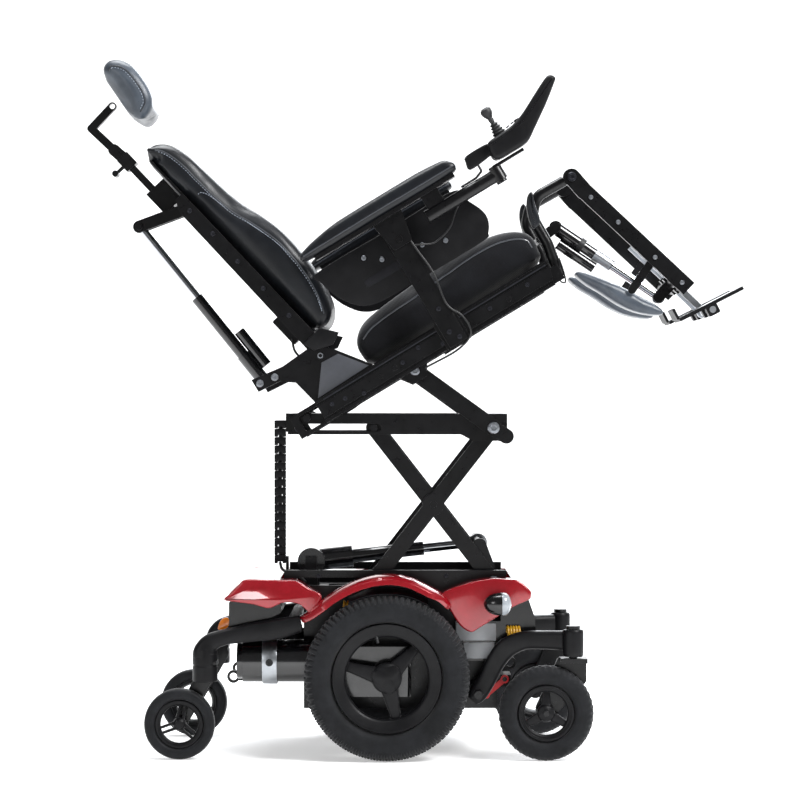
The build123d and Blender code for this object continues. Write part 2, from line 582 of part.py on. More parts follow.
def lift_motor():
    """Lift actuator body: motor can, gearbox and outer tube, on trunnions."""
    aim = (LIFT_KNEE[0] - LIFT_MOTOR[0], LIFT_KNEE[1] - LIFT_MOTOR[1])
    reach = sqrt(aim[0] ** 2 + aim[1] ** 2)
    direction = (aim[0] / reach, aim[1] / reach)

    def along(distance):
        return (LIFT_MOTOR[0] + direction[0] * distance, 0.0, LIFT_MOTOR[1] + direction[1] * distance)

    with BuildPart() as motor:
        disc(LIFT_MOTOR, LIFT_MOTOR_R, (-46.0, 46.0))
        rod(along(20.0), along(92.0), 24.0)
        rod(along(90.0), along(250.0), 15.0)
        rod(along(110.0), along(262.0), 10.3, Mode.SUBTRACT)
        disc(LIFT_MOTOR, KNEE_PIN_R + RUNNING_GAP, (-48.0, -36.0), Mode.SUBTRACT)
        disc(LIFT_MOTOR, KNEE_PIN_R + RUNNING_GAP, (36.0, 48.0), Mode.SUBTRACT)
    save(motor, "lift_motor")
    with BuildPart() as piston:
        rod(along(176.0), along(reach - 16.0), 10.0)
        disc(LIFT_KNEE, 20.0, (-11.0, 11.0))
        disc(LIFT_KNEE, KNEE_PIN_R + OPEN_PIVOT_GAP, (-14.0, 14.0), Mode.SUBTRACT)
    save(piston, "lift_rod")


def cable_chain():
    """Upright drag chain that carries the cables from the base to the seat."""
    wall = 3.0
    count = 17
    half_x = CHAIN_LINK[0] / 2
    half_y = CHAIN_LINK[1] / 2
    with BuildPart() as chain:
        for index in range(count):
            z_link = CHAIN_BOTTOM + index * CHAIN_PITCH
            block((CHAIN_X - half_x, CHAIN_X + half_x), (-half_y, half_y), (z_link, z_link + CHAIN_PITCH - SEAT_GAP))
            block((CHAIN_X - half_x + wall, CHAIN_X + half_x - wall), (wall - half_y, half_y - wall),
                  (z_link - 1.0, z_link + CHAIN_PITCH + 1.0), Mode.SUBTRACT)
    save(chain, "cable_chain")


# ---------------------------------------------------------------- tilting seat
def tilt_strut():
    """Pair of tilt struts from the beam's front pivot up to the seat lugs."""
    with BuildPart() as strut:
        for side in SIDES.values():
            layer = outward(side, *STRUT_Y)
            bar(LIFT_TOP_PIVOT, TILT_SEAT, 36.0, layer)
            bar(LIFT_TOP_PIVOT, (190.0, 692.0), 32.0, layer)
            disc(LIFT_TOP_PIVOT, HOLE_R, layer, Mode.SUBTRACT)
            disc(TILT_SEAT, LIFT_PIN_R, outward(side, STRUT_Y[0], LUG_Y[1] + 2.0))
    save(strut, "tilt_strut")


def seat_frame():
    """Slanted rails with lugs for the tilt linkage, cross bars, recline plates and arm posts."""
    tilt_rear = (-36.0, 7.0)
    with BuildPart() as frame:
        for side in SIDES.values():
            rail = [(0.0, RAIL_V[0]), (RAIL_LENGTH - 12.0, RAIL_V[0]), (RAIL_LENGTH, RAIL_V[1]), (0.0, RAIL_V[1])]
            plate(rail, outward(side, *RAIL_Y), SEAT_ORIGIN, SEAT_ANGLE)
            for v_slot in (RAIL_V[0] + 9.0, RAIL_V[1] - 9.0):
                groove = [(-10.0, v_slot - 2.5), (RAIL_LENGTH + 10.0, v_slot - 2.5),
                          (RAIL_LENGTH + 10.0, v_slot + 2.5), (-10.0, v_slot + 2.5)]
                plate(groove, outward(side, RAIL_Y[1] - 5.0, RAIL_Y[1] + 5.0), SEAT_ORIGIN, SEAT_ANGLE,
                      mode=Mode.SUBTRACT)
            lug = [(-66.0, -27.0), (-66.0, 26.0), (260.0, 26.0), (260.0, -10.0), (236.0, -50.0), (202.0, -50.0),
                   (176.0, -14.0), (60.0, -27.0)]
            plate(lug, outward(side, *LUG_Y), SEAT_ORIGIN, SEAT_ANGLE)
            disc(TILT_SEAT, HOLE_R, outward(side, *LUG_Y), Mode.SUBTRACT)
            window = (tilt_rear[0] - LIFT_PIN_R - 5.0, tilt_rear[0] + TILT_SLOT + LIFT_PIN_R)
            plate([(window[0], -19.5), (window[1], -19.5), (window[1], 17.5), (window[0], 17.5)],
                  outward(side, *LUG_Y), SEAT_ORIGIN, SEAT_ANGLE, corner=6.0, mode=Mode.SUBTRACT)
            for u_bolt in (150.0, 185.0, 330.0, 365.0, 470.0):
                disc(seat_point(u_bolt, 0.0), 5.5, outward(side, RAIL_Y[1] - 1.0, RAIL_Y[1] + 1.6))
            reclined = [(-92.0, 108.0), (-92.0, 138.0), (-20.0, 128.0), (62.0, 134.0), (92.0, 106.0),
                        (152.0, RAIL_V[1] - 1.0), (0.0, RAIL_V[1] - 1.0), (-14.0, 86.0), (-40.0, 104.0)]
            plate(reclined, outward(side, RAIL_Y[0] - 1.0, RAIL_Y[0] + 8.0), SEAT_ORIGIN, SEAT_ANGLE)
            disc(RECLINE, RECLINE_PIN_R, outward(side, CANE_Y[0] - 3.0, RAIL_Y[0] + 12.0))
            post = [(POST_U - POST_WIDTH / 2, RAIL_V[0]), (POST_U + POST_WIDTH / 2, RAIL_V[0]),
                    (POST_U + POST_WIDTH / 2, 250.0), (POST_U - POST_WIDTH / 2, 250.0)]
            plate(post, outward(side, *POST_Y), SEAT_ORIGIN, SEAT_ANGLE)
            collar = [(POST_U - 28.0, RAIL_V[0] - 4.0), (POST_U + 28.0, RAIL_V[0] - 4.0),
                      (POST_U + 28.0, RAIL_V[1] + 6.0), (POST_U - 28.0, RAIL_V[1] + 6.0)]
            plate(collar, outward(side, RAIL_Y[1] - 1.0, POST_Y[0] + 4.0), SEAT_ORIGIN, SEAT_ANGLE)
            disc(seat_point(*FLIP_UV), 7.0, outward(side, POST_Y[1] - 2.0, POST_Y[1] + 10.0))
        for u_bar in (58.0, 150.0, 270.0, 400.0, 550.0):
            cross = [(u_bar, 16.0), (u_bar + 22.0, 16.0), (u_bar + 22.0, RAIL_V[1]), (u_bar, RAIL_V[1])]
            plate(cross, (-RAIL_Y[0] - 1.0, RAIL_Y[0] + 1.0), SEAT_ORIGIN, SEAT_ANGLE)
        disc(seat_point(-26.0, 116.0), 8.0, (-RAIL_Y[0], RAIL_Y[0]))
        for y_range in ((ACTUATOR_Y + 16.0, ACTUATOR_Y + 22.0), (ACTUATOR_Y - 22.0, ACTUATOR_Y - 16.0)):
            ear = [(-86.0, 114.0), (-86.0, 138.0), (-18.0, 122.0), (-18.0, 110.0)]
            plate(ear, y_range, SEAT_ORIGIN, SEAT_ANGLE)
        disc(seat_point(*RECLINE_FOOT_UV), KNEE_PIN_R, (ACTUATOR_Y - 22.0, ACTUATOR_Y + 22.0))
    save(frame, "seat_frame")


def seat_pan():
    """Formed pan under the seat cushion."""
    top = RAIL_V[1] + SEAT_GAP + PAN_T
    with BuildPart() as pan:
        plate([(150.0, RAIL_V[1] + SEAT_GAP), (RAIL_LENGTH - 8.0, RAIL_V[1] + SEAT_GAP),
               (RAIL_LENGTH - 8.0, top), (150.0, top)], (-CUSHION_HALF, CUSHION_HALF), SEAT_ORIGIN, SEAT_ANGLE)
    save(pan, "seat_pan")


def seat_cushion():
    """Soft seat cushion as a plain closed solid."""
    base = RAIL_V[1] + 2 * SEAT_GAP + PAN_T
    outline = [(146.0, base), (132.0, 60.0), (140.0, 98.0), (188.0, 116.0), (362.0, 132.0), (508.0, 130.0),
               (564.0, 116.0), (590.0, 86.0), (584.0, base)]
    with BuildPart() as cushion:
        plate(outline, (-CUSHION_HALF, CUSHION_HALF), SEAT_ORIGIN, SEAT_ANGLE, corner=8.0)
    save(cushion, "seat_cushion")


def side_guards():
    """Flat clothing guards under the armpads."""
    outline = [(150.0, 262.0), (146.0, 238.0), (160.0, 190.0), (190.0, 152.0), (228.0, 137.0), (486.0, 134.0),
               (520.0, 156.0), (522.0, 190.0), (486.0, 262.0)]
    with BuildPart() as guards:
        for side in SIDES.values():
            plate(outline, outward(side, RAIL_Y[0] + 1.5, RAIL_Y[0] + 6.0), SEAT_ORIGIN, SEAT_ANGLE, corner=8.0)
            for u_tab in (260.0, 420.0):
                tab = [(u_tab, RAIL_V[1] + SEAT_GAP), (u_tab + 24.0, RAIL_V[1] + SEAT_GAP),
                       (u_tab + 24.0, 150.0), (u_tab, 150.0)]
                plate(tab, outward(side, RAIL_Y[0] + 1.5, RAIL_Y[0] + 6.0), SEAT_ORIGIN, SEAT_ANGLE)
            slot_hole = [(236.0, 228.0), (330.0, 228.0), (330.0, 246.0), (236.0, 246.0)]
            plate(slot_hole, outward(side, RAIL_Y[0], RAIL_Y[0] + 8.0), SEAT_ORIGIN, SEAT_ANGLE,
                  corner=8.0, mode=Mode.SUBTRACT)
    save(guards, "side_guards")


# ---------------------------------------------------------------- reclining back
def back_frame():
    """Back canes with a formed back shell, a cross tube and the actuator ears."""
    with BuildPart() as back:
        for side in SIDES.values():
            cane = [(-16.0, -14.0), (-16.0, 12.0), (430.0, 8.0), (458.0, -4.0), (458.0, -25.0), (20.0, -25.0)]
            plate(cane, outward(side, *CANE_Y), RECLINE, BACK_ANGLE)
            disc(RECLINE, RECLINE_PIN_R + RUNNING_GAP, outward(side, *CANE_Y), Mode.SUBTRACT)
        shell = [(50.0, -25.0), (50.0, -20.0), (560.0, -20.0), (560.0, -25.0)]
        plate(shell, (-CANE_Y[0] - 1.0, CANE_Y[0] + 1.0), RECLINE, BACK_ANGLE)
        disc(back_point(440.0, -6.0), 12.0, (-CANE_Y[0] - 1.0, CANE_Y[0] + 1.0))
        for y_range in ((ACTUATOR_Y + 12.0, ACTUATOR_Y + 18.0), (ACTUATOR_Y - 18.0, ACTUATOR_Y - 12.0)):
            bar(back_point(440.0, -6.0), back_point(*RECLINE_HEAD_UV), 26.0, y_range)
        disc(back_point(*RECLINE_HEAD_UV), 8.0, (ACTUATOR_Y + 17.0, ACTUATOR_Y + 24.0))
        disc(back_point(*RECLINE_HEAD_UV), 8.0, (ACTUATOR_Y - 24.0, ACTUATOR_Y - 17.0))
        guide = [(470.0, -21.0), (470.0, 36.0), (530.0, 36.0), (530.0, -21.0)]
        plate(guide, (-26.0, 26.0), RECLINE, BACK_ANGLE)
        bore = [(460.0, 10.0 - SEAT_GAP), (460.0, 26.0 + SEAT_GAP), (540.0, 26.0 + SEAT_GAP),
                (540.0, 10.0 - SEAT_GAP)]
        plate(bore, (-14.0 - SEAT_GAP, 14.0 + SEAT_GAP), RECLINE, BACK_ANGLE, mode=Mode.SUBTRACT)
        case = [(58.0, -21.0), (58.0, 26.0), (126.0, 26.0), (126.0, -21.0)]
        plate(case, (-180.0, -120.0), RECLINE, BACK_ANGLE, corner=4.0)
    save(back, "back_frame")


def back_cushion():
    """Soft back cushion as a plain closed solid."""
    rear = -25.0 - SEAT_GAP
    outline = [(56.0, rear), (32.0, -50.0), (60.0, -84.0), (110.0, -102.0), (180.0, -115.0), (260.0, -114.0),
               (400.0, -90.0), (520.0, -84.0), (574.0, -64.0), (588.0, -40.0), (584.0, rear)]
    with BuildPart() as cushion:
        plate(outline, (-BACK_CUSHION_HALF, BACK_CUSHION_HALF), RECLINE, BACK_ANGLE, corner=8.0)
    save(cushion, "back_cushion")


def actuator(foot, head, y_mid, body_name, rod_name, can_r, tube_r, tube_end, motor_out):
    """Linear actuator: a body with a motor beside it, and a rod with an eye."""
    aim = (head[0] - foot[0], head[1] - foot[1])
    reach = sqrt(aim[0] ** 2 + aim[1] ** 2)
    direction = (aim[0] / reach, aim[1] / reach)

    def along(distance, up=0.0, y_shift=0.0):
        return (foot[0] + direction[0] * distance - direction[1] * up, y_mid + y_shift,
                foot[1] + direction[1] * distance + direction[0] * up)

    with BuildPart() as body:
        disc(foot, 15.0, (y_mid - 9.0, y_mid + 9.0))
        rod(along(8.0), along(74.0), can_r)
        rod(along(70.0), along(tube_end), tube_r)
        rod(along(24.0, motor_out, 0.0), along(120.0, motor_out, 0.0), can_r - 3.0)
        rod(along(60.0), along(tube_end + 4.0), 10.3, Mode.SUBTRACT)
        disc(foot, KNEE_PIN_R + RUNNING_GAP, (y_mid - 10.0, y_mid + 10.0), Mode.SUBTRACT)
        disc(foot, KNEE_PIN_R + 4.0, (y_mid - 10.0 - can_r, y_mid - 9.0), Mode.SUBTRACT)
        disc(foot, KNEE_PIN_R + 4.0, (y_mid + 9.0, y_mid + 10.0 + can_r), Mode.SUBTRACT)
    save(body, body_name)
    with BuildPart() as piston:
        rod(along(tube_end * 0.6), along(reach - 12.0), 10.0)
        disc(head, 14.0, (y_mid - 9.0, y_mid + 9.0))
        disc(head, KNEE_PIN_R, (y_mid - 10.0, y_mid + 10.0), Mode.SUBTRACT)
    save(piston, rod_name)


# ---------------------------------------------------------------- headrest
def headrest():
    """Sliding stem, cranked arm and pad."""
    low_joint = back_point(652.0, 20.0)
    elbow = back_point(722.0, 24.0)
    high_joint = back_point(726.0, -44.0)
    with BuildPart() as stem:
        bar_outline = [(450.0, 10.0), (450.0, 26.0), (600.0, 26.0), (600.0, 10.0)]
        plate(bar_outline, (-14.0, 14.0), RECLINE, BACK_ANGLE)
        clamp = [(596.0, 2.0), (596.0, 32.0), (630.0, 32.0), (630.0, 2.0)]
        plate(clamp, (-20.0, 20.0), RECLINE, BACK_ANGLE, corner=3.0)
        for y_range in ((-16.0, -9.0), (9.0, 16.0)):
            bar(back_point(622.0, 17.0), low_joint, 26.0, y_range)
        disc(low_joint, 6.0, (-16.0, 16.0))
        rod((*back_point(612.0, 30.0)[:1], 0.0, back_point(612.0, 30.0)[1]),
            (back_point(612.0, 52.0)[0], 0.0, back_point(612.0, 52.0)[1]), 4.0)
        disc(back_point(612.0, 54.0), 7.0, (-18.0, 18.0))
    save(stem, "headrest_stem")
    with BuildPart() as arm:
        bar(low_joint, elbow, 18.0, (-8.5, 8.5))
        bar(elbow, high_joint, 18.0, (-8.5, 8.5))
        disc(low_joint, 6.0 + RUNNING_GAP, (-10.0, 10.0), Mode.SUBTRACT)
        disc(high_joint, 6.0 + RUNNING_GAP, (-10.0, 10.0), Mode.SUBTRACT)
    save(arm, "headrest_arm")
    with BuildPart() as pad:
        outline = [(786.0, -84.0), (793.0, -104.0), (776.0, -126.0), (744.0, -137.0), (690.0, -131.0),
                   (658.0, -114.0), (644.0, -84.0), (652.0, -62.0), (700.0, -68.0), (750.0, -76.0)]
        plate(outline, (-HEADREST_HALF, HEADREST_HALF), RECLINE, BACK_ANGLE, corner=5.0)
        for y_range in ((-16.0, -9.0), (9.0, 16.0)):
            bar(high_joint, back_point(724.0, -76.0), 20.0, y_range)
        disc(high_joint, 6.0, (-16.0, 16.0))
    save(pad, "headrest_pad")


# ---------------------------------------------------------------- armrests and joystick
def armrest(name, side):
    """Flip-up arm: hinge plate, upper bracket and, on the right, the controller sleeve."""
    with BuildPart() as arm:
        hinge_y = outward(side, POST_Y[1] + SIDE_GAP, POST_Y[1] + 7.0)
        plate([(314.0, 214.0), (358.0, 214.0), (372.0, 288.0), (300.0, 288.0)], hinge_y, SEAT_ORIGIN, SEAT_ANGLE,
              corner=4.0)
        bracket = [(160.0, 282.0), (505.0, 282.0), (505.0, PAD_V[0] - SEAT_GAP), (160.0, PAD_V[0] - SEAT_GAP)]
        plate(bracket, outward(side, PAD_Y - 24.0, PAD_Y + 24.0), SEAT_ORIGIN, SEAT_ANGLE)
        disc(seat_point(*FLIP_UV), 7.0 + RUNNING_GAP, outward(side, POST_Y[1] - 4.0, POST_Y[1] + 12.0),
             Mode.SUBTRACT)
        if side < 0:
            start = seat_point(410.0, 239.0)
            end = seat_point(578.0, 239.0)
            rod((start[0], JOY_Y - 8.0, start[1]), (end[0], JOY_Y - 8.0, end[1]), 14.0)
            web = [(420.0, 238.0), (460.0, 238.0), (460.0, 284.0), (420.0, 284.0)]
            plate(web, (JOY_Y - 13.0, JOY_Y - 3.0), SEAT_ORIGIN, SEAT_ANGLE)
            lug = seat_point(586.0, 239.0)
            up = (-sin(radians(SEAT_ANGLE)), 0.0, cos(radians(SEAT_ANGLE)))
            rod((lug[0] - up[0] * 14.0, JOY_Y - 8.0, lug[1] - up[2] * 14.0),
                (lug[0] + up[0] * 14.0, JOY_Y - 8.0, lug[1] + up[2] * 14.0), 16.0)
            rod((lug[0] - up[0] * 15.0, JOY_Y - 8.0, lug[1] - up[2] * 15.0),
                (lug[0] + up[0] * 15.0, JOY_Y - 8.0, lug[1] + up[2] * 15.0), 6.0 + RUNNING_GAP, Mode.SUBTRACT)
    save(arm, name)


def armpad(name, side):
    """Soft armpad as a plain closed solid."""
    u_0, u_1 = PAD_U
    v_0, v_1 = PAD_V
    with BuildPart() as pad:
        outline = [(u_0 + 16.0, v_0), (u_0, v_0 + 17.0), (u_0 + 28.0, v_1 - 10.0), (u_0 + 105.0, v_1),
                   (u_1 - 46.0, v_1), (u_1 - 12.0, v_1 - 9.0), (u_1, v_0 + 12.0), (u_1 - 20.0, v_0)]
        plate(outline, outward(side, PAD_Y - PAD_WIDTH / 2, PAD_Y + PAD_WIDTH / 2), SEAT_ORIGIN, SEAT_ANGLE,
              corner=5.0)
    save(pad, name)


def joystick():
    """Swing-away bracket, controller housing, boot, lever and button."""
    lug = seat_point(586.0, 239.0)
    up = Vector(-sin(radians(SEAT_ANGLE)), 0.0, cos(radians(SEAT_ANGLE)))
    ahead = Vector(cos(radians(SEAT_ANGLE)), 0.0, sin(radians(SEAT_ANGLE)))
    pivot = Vector(lug[0], JOY_Y - 8.0, lug[1])
    with BuildPart() as bracket:
        rod(tuple(pivot - up * 19.0), tuple(pivot + up * 19.0), 6.0)
        rod(tuple(pivot + up * 14.5), tuple(pivot + up * 20.0), 12.0)
        rod(tuple(pivot - up * 20.0), tuple(pivot - up * 14.5), 12.0)
        arm = [(584.0, 253.5), (660.0, 253.5), (660.0, 260.0), (584.0, 260.0)]
        plate(arm, (JOY_Y - 20.0, JOY_Y + 4.0), SEAT_ORIGIN, SEAT_ANGLE)
    save(bracket, "joystick_arm")
    stick_uv = (634.0, 300.0)
    with BuildPart() as housing:
        outline = [(600.0, 264.0), (600.0, 306.0), (664.0, 312.0), (690.0, 318.0), (786.0, 362.0), (798.0, 350.0),
                   (752.0, 314.0), (698.0, 284.0), (668.0, 264.0)]
        plate(outline, (JOY_Y - 30.0, JOY_Y + 30.0), SEAT_ORIGIN, SEAT_ANGLE, corner=4.0)
        side_box = [(541.0, 276.0), (541.0, 300.0), (548.0, 308.0), (601.0, 308.0), (601.0, 282.0)]
        plate(side_box, (JOY_Y - 14.0, JOY_Y + 14.0), SEAT_ORIGIN, SEAT_ANGLE)
        foot = [(610.0, 260.3), (650.0, 260.3), (650.0, 265.0), (610.0, 265.0)]
        plate(foot, (JOY_Y - 18.0, JOY_Y + 2.0), SEAT_ORIGIN, SEAT_ANGLE)
        centre = seat_point(*stick_uv)
        base = Vector(centre[0], JOY_Y, centre[1])
        rod(tuple(base - up * 26.0), tuple(base + up * 16.0), 15.0, Mode.SUBTRACT)
        disc(centre, 2.5 + RUNNING_GAP, (JOY_Y - 19.0, JOY_Y + 19.0), Mode.SUBTRACT)
        press = seat_point(680.0, 314.0)
        hole = Vector(press[0], JOY_Y, press[1])
        rod(tuple(hole - up * 10.0), tuple(hole + up * 12.0), 6.3, Mode.SUBTRACT)
    save(housing, "joystick_housing")
    with BuildPart() as boot:
        rod(tuple(base - up * 7.0), tuple(base + up * 10.0), 10.4)
        disc(centre, 2.5, (JOY_Y - 18.0, JOY_Y + 18.0))
        rod(tuple(base - up * 12.0), tuple(base + up * 12.0), 6.9, Mode.SUBTRACT)
        rod(tuple(base - ahead * 12.0), tuple(base + ahead * 12.0), ROLL_PIN_R + RUNNING_GAP, Mode.SUBTRACT)
    save(boot, "joystick_boot")
    with BuildPart() as lever:
        with Locations(base):
            Sphere(6.2)
        rod(tuple(base - ahead * 9.5), tuple(base + ahead * 9.5), ROLL_PIN_R)
        rod(tuple(base), tuple(base + up * 62.0), 4.0)
        rod(tuple(base + up * 58.0), tuple(base + up * 75.0), 9.0)
    save(lever, "joystick_lever")
    with BuildPart() as button:
        rod(tuple(hole - up * 4.0), tuple(hole + up * 6.0), 6.0)
    save(button, "joystick_button")


def joystick_cable():
    """Controller cable from the housing down to the arm sleeve, clipped along it."""
    points = [(560.0, 277.2), (560.0, 263.0), (542.0, 256.2), (505.0, 255.9)]
    with BuildPart() as cable:
        route = [(seat_point(u, v)[0], JOY_Y - 8.0, seat_point(u, v)[1]) for u, v in points]
        tube(route, 2.6, [5.0, 12.0])
    save(cable, "joystick_cable")


# ---------------------------------------------------------------- legrest
def leg_hangers():
    """Bent hanger tubes from the seat front up to the knee pivots, with a cross tube."""
    with BuildPart() as hangers:
        for side in SIDES.values():
            route = [(596.0, -12.0), (598.0, 10.0), (608.0, 60.0), (610.0, 128.0), (640.0, 160.0), (708.0, 158.0)]
            points = [(seat_point(u, v)[0], side * LEG_Y, seat_point(u, v)[1]) for u, v in route]
            tube(points, 12.0, [20.0, 30.0, 34.0, 34.0])
            disc(KNEE, 19.0, outward(side, LEG_Y - 10.0, LEG_Y + 10.0))
            disc(KNEE, 8.0, outward(side, LEG_Y - 10.0, LEG_Y + 24.0))
        cross = seat_point(596.0, -6.0)
        disc(cross, 12.0, (-LEG_Y - 6.0, LEG_Y + 6.0))
        strap = [(572.0, -23.0), (572.0, 12.0), (598.0, 12.0), (598.0, -23.0)]
        for side in SIDES.values():
            plate(strap, outward(side, 150.0, RAIL_Y[0] - SEAT_GAP), SEAT_ORIGIN, SEAT_ANGLE)
        head = leg_point(*LEG_HEAD_UV)
        for y_range in ((LEG_ACTUATOR_Y + 16.0, LEG_ACTUATOR_Y + 22.0), (LEG_ACTUATOR_Y - 22.0, LEG_ACTUATOR_Y - 16.0)):
            bar(seat_point(609.0, 80.0), head, 22.0, y_range)
        disc(seat_point(609.0, 80.0), 9.0, (-LEG_Y, LEG_Y))
        disc(head, KNEE_PIN_R, (LEG_ACTUATOR_Y - 22.0, LEG_ACTUATOR_Y + 22.0))
    save(hangers, "leg_hangers")


def leg_channels():
    """Elevating channels from the knee pivots, with a cross tube and pad brackets."""
    with BuildPart() as channels:
        for side in SIDES.values():
            layer = outward(side, LEG_Y + 10.0 + SIDE_GAP, LEG_Y + 22.0)
            bar(KNEE, leg_point(40.0, -4.0), 36.0, layer)
            plate([(24.0, -21.0), (24.0, 14.0), (350.0, 14.0), (350.0, -21.0)], layer, KNEE, LEG_ANGLE)
            disc(KNEE, 8.0 + RUNNING_GAP, layer, Mode.SUBTRACT)
        disc(leg_point(319.0, -10.0), 11.0, (-LEG_Y - 12.0, LEG_Y + 12.0))
        for y_range in ((LEG_ACTUATOR_Y + 12.0, LEG_ACTUATOR_Y + 18.0), (LEG_ACTUATOR_Y - 18.0, LEG_ACTUATOR_Y - 12.0)):
            bar(leg_point(319.0, -10.0), leg_point(*LEG_FOOT_UV), 24.0, y_range)
        for side in SIDES.values():
            bar(leg_point(250.0, -4.0), leg_point(262.0, -88.0), 18.0, outward(side, LEG_Y + 8.0, LEG_Y + 11.0))
        guide_y = 40.0
        disc(leg_point(338.0, -4.0), 9.0, (-LEG_Y - 12.0, LEG_Y + 12.0))
        for side in SIDES.values():
            plate([(300.0, -16.0), (300.0, 8.0), (346.0, 8.0), (346.0, -16.0)],
                  outward(side, guide_y - 12.0, guide_y + 12.0), KNEE, LEG_ANGLE)
            plate([(290.0, -11.0 - SEAT_GAP), (290.0, 3.0 + SEAT_GAP), (356.0, 3.0 + SEAT_GAP),
                   (356.0, -11.0 - SEAT_GAP)], outward(side, guide_y - 7.0 - SEAT_GAP, guide_y + 7.0 + SEAT_GAP),
                  KNEE, LEG_ANGLE, mode=Mode.SUBTRACT)
    save(channels, "leg_channels")


def calf_pads():
    """Soft calf pads as plain closed solids."""
    outline = [(150.0, -138.0), (158.0, -150.0), (214.0, -136.0), (290.0, -122.0), (346.0, -86.0), (344.0, -72.0),
               (300.0, -84.0), (228.0, -104.0)]
    with BuildPart() as pads:
        for side in SIDES.values():
            plate(outline, outward(side, 88.0, LEG_Y + 7.5), KNEE, LEG_ANGLE, corner=4.0)
    save(pads, "calf_pads")


def foot_bracket():
    """Telescopic foot bracket with the footplate hinge bar."""
    guide_y = 40.0
    pivot = leg_point(FOOT_PIVOT_U, -1.0)
    with BuildPart() as bracket:
        for side in SIDES.values():
            plate([(200.0, -11.0), (200.0, 3.0), (420.0, 3.0), (420.0, -11.0)],
                  outward(side, guide_y - 7.0, guide_y + 7.0), KNEE, LEG_ANGLE)
            disc(pivot, 12.0, outward(side, 28.0, 52.0))
        disc(pivot, 7.0, (-FOOTPLATE_HALF, FOOTPLATE_HALF))
    save(bracket, "foot_bracket")


def footplate(name, side):
    """Flip-up footplate with a hinge lug, a raised heel and a ribbed top."""
    pivot = leg_point(FOOT_PIVOT_U, -1.0)
    slope = 27.0
    with BuildPart() as foot:
        plate([(-74.0, 8.2), (-74.0, 16.0), (80.0, 16.0), (80.0, 8.2)], outward(side, 60.0, FOOTPLATE_HALF),
              pivot, slope, corner=2.0)
        plate([(-13.0, -12.0), (-13.0, 10.0), (13.0, 10.0), (13.0, -12.0)], outward(side, 60.0, 90.0), pivot, slope,
              corner=4.0)
        plate([(-13.0, -12.0), (-13.0, 10.0), (13.0, 10.0), (13.0, -12.0)],
              outward(side, FOOTPLATE_HALF - 30.0, FOOTPLATE_HALF), pivot, slope, corner=4.0)
        disc(pivot, 7.0 + RUNNING_GAP, outward(side, 55.0, FOOTPLATE_HALF + 4.0), Mode.SUBTRACT)
        plate([(-78.0, 14.0), (-78.0, 40.0), (-72.0, 40.0), (-72.0, 14.0)], outward(side, 70.0, FOOTPLATE_HALF - 8.0),
              pivot, slope, corner=2.0)
    save(foot, name)


# ---------------------------------------------------------------- build everything
chassis_frame()
battery_pack()
control_module()
base_housing()
rear_cover()
front_cover()
drive_motors()
rear_caster_arms()
front_lamps()
lift_base_frame()
lift_arm("lift_arm_b", LIFT_PIVOT, (LIFT_ROLLER_X, LIFT_TOP_PIVOT[1]), ARM_B_Y, False, True, True, FRAME_Y[1] - 2.0)
lift_arm("lift_arm_a", (LIFT_ROLLER_X, LIFT_PIVOT[1]), LIFT_TOP_PIVOT, ARM_A_Y, True, False, False, FRAME_Y[1] - 2.0)
upper_beam()
lift_motor()
cable_chain()
tilt_strut()
seat_frame()
seat_pan()
seat_cushion()
side_guards()
back_frame()
back_cushion()
actuator(seat_point(*RECLINE_FOOT_UV), back_point(*RECLINE_HEAD_UV), ACTUATOR_Y, "recline_motor", "recline_rod",
         15.0, 13.0, 236.0, -26.0)
headrest()
for side_name, side_sign in SIDES.items():
    drive_wheel(f"drive_wheel_{side_name}", side_sign)
    caster_wheel(f"front_caster_wheel_{side_name}", side_sign, (FRONT_X, FRONT_R), FRONT_Y, FRONT_WIDTH, FRONT_R, 62.0)
    caster_wheel(f"rear_caster_wheel_{side_name}", side_sign, (REAR_X, REAR_R), REAR_Y, REAR_WIDTH, REAR_R, 45.0)
    front_caster_arm(f"front_caster_arm_{side_name}", side_sign)
    front_fork(f"front_fork_{side_name}", side_sign)
    rear_fork(f"rear_fork_{side_name}", side_sign)
    freewheel_lever(f"freewheel_lever_{side_name}", side_sign)
    armrest(f"armrest_{side_name}", side_sign)
    armpad(f"armpad_{side_name}", side_sign)
    footplate(f"footplate_{side_name}", side_sign)
joystick()
joystick_cable()
leg_hangers()
leg_channels()
calf_pads()
actuator(leg_point(*LEG_HEAD_UV), leg_point(*LEG_FOOT_UV), LEG_ACTUATOR_Y, "leg_motor", "leg_rod",
         15.0, 13.0, 150.0, -26.0)
foot_bracket()
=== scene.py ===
"""Power wheelchair: finishes, soft goods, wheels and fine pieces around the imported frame.

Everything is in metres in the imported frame. Layout sizes are in millimetres, from the same datum as the CAD
source, and Layout.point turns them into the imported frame.
"""

import json
import logging
import math
from dataclasses import dataclass, field
from enum import Enum

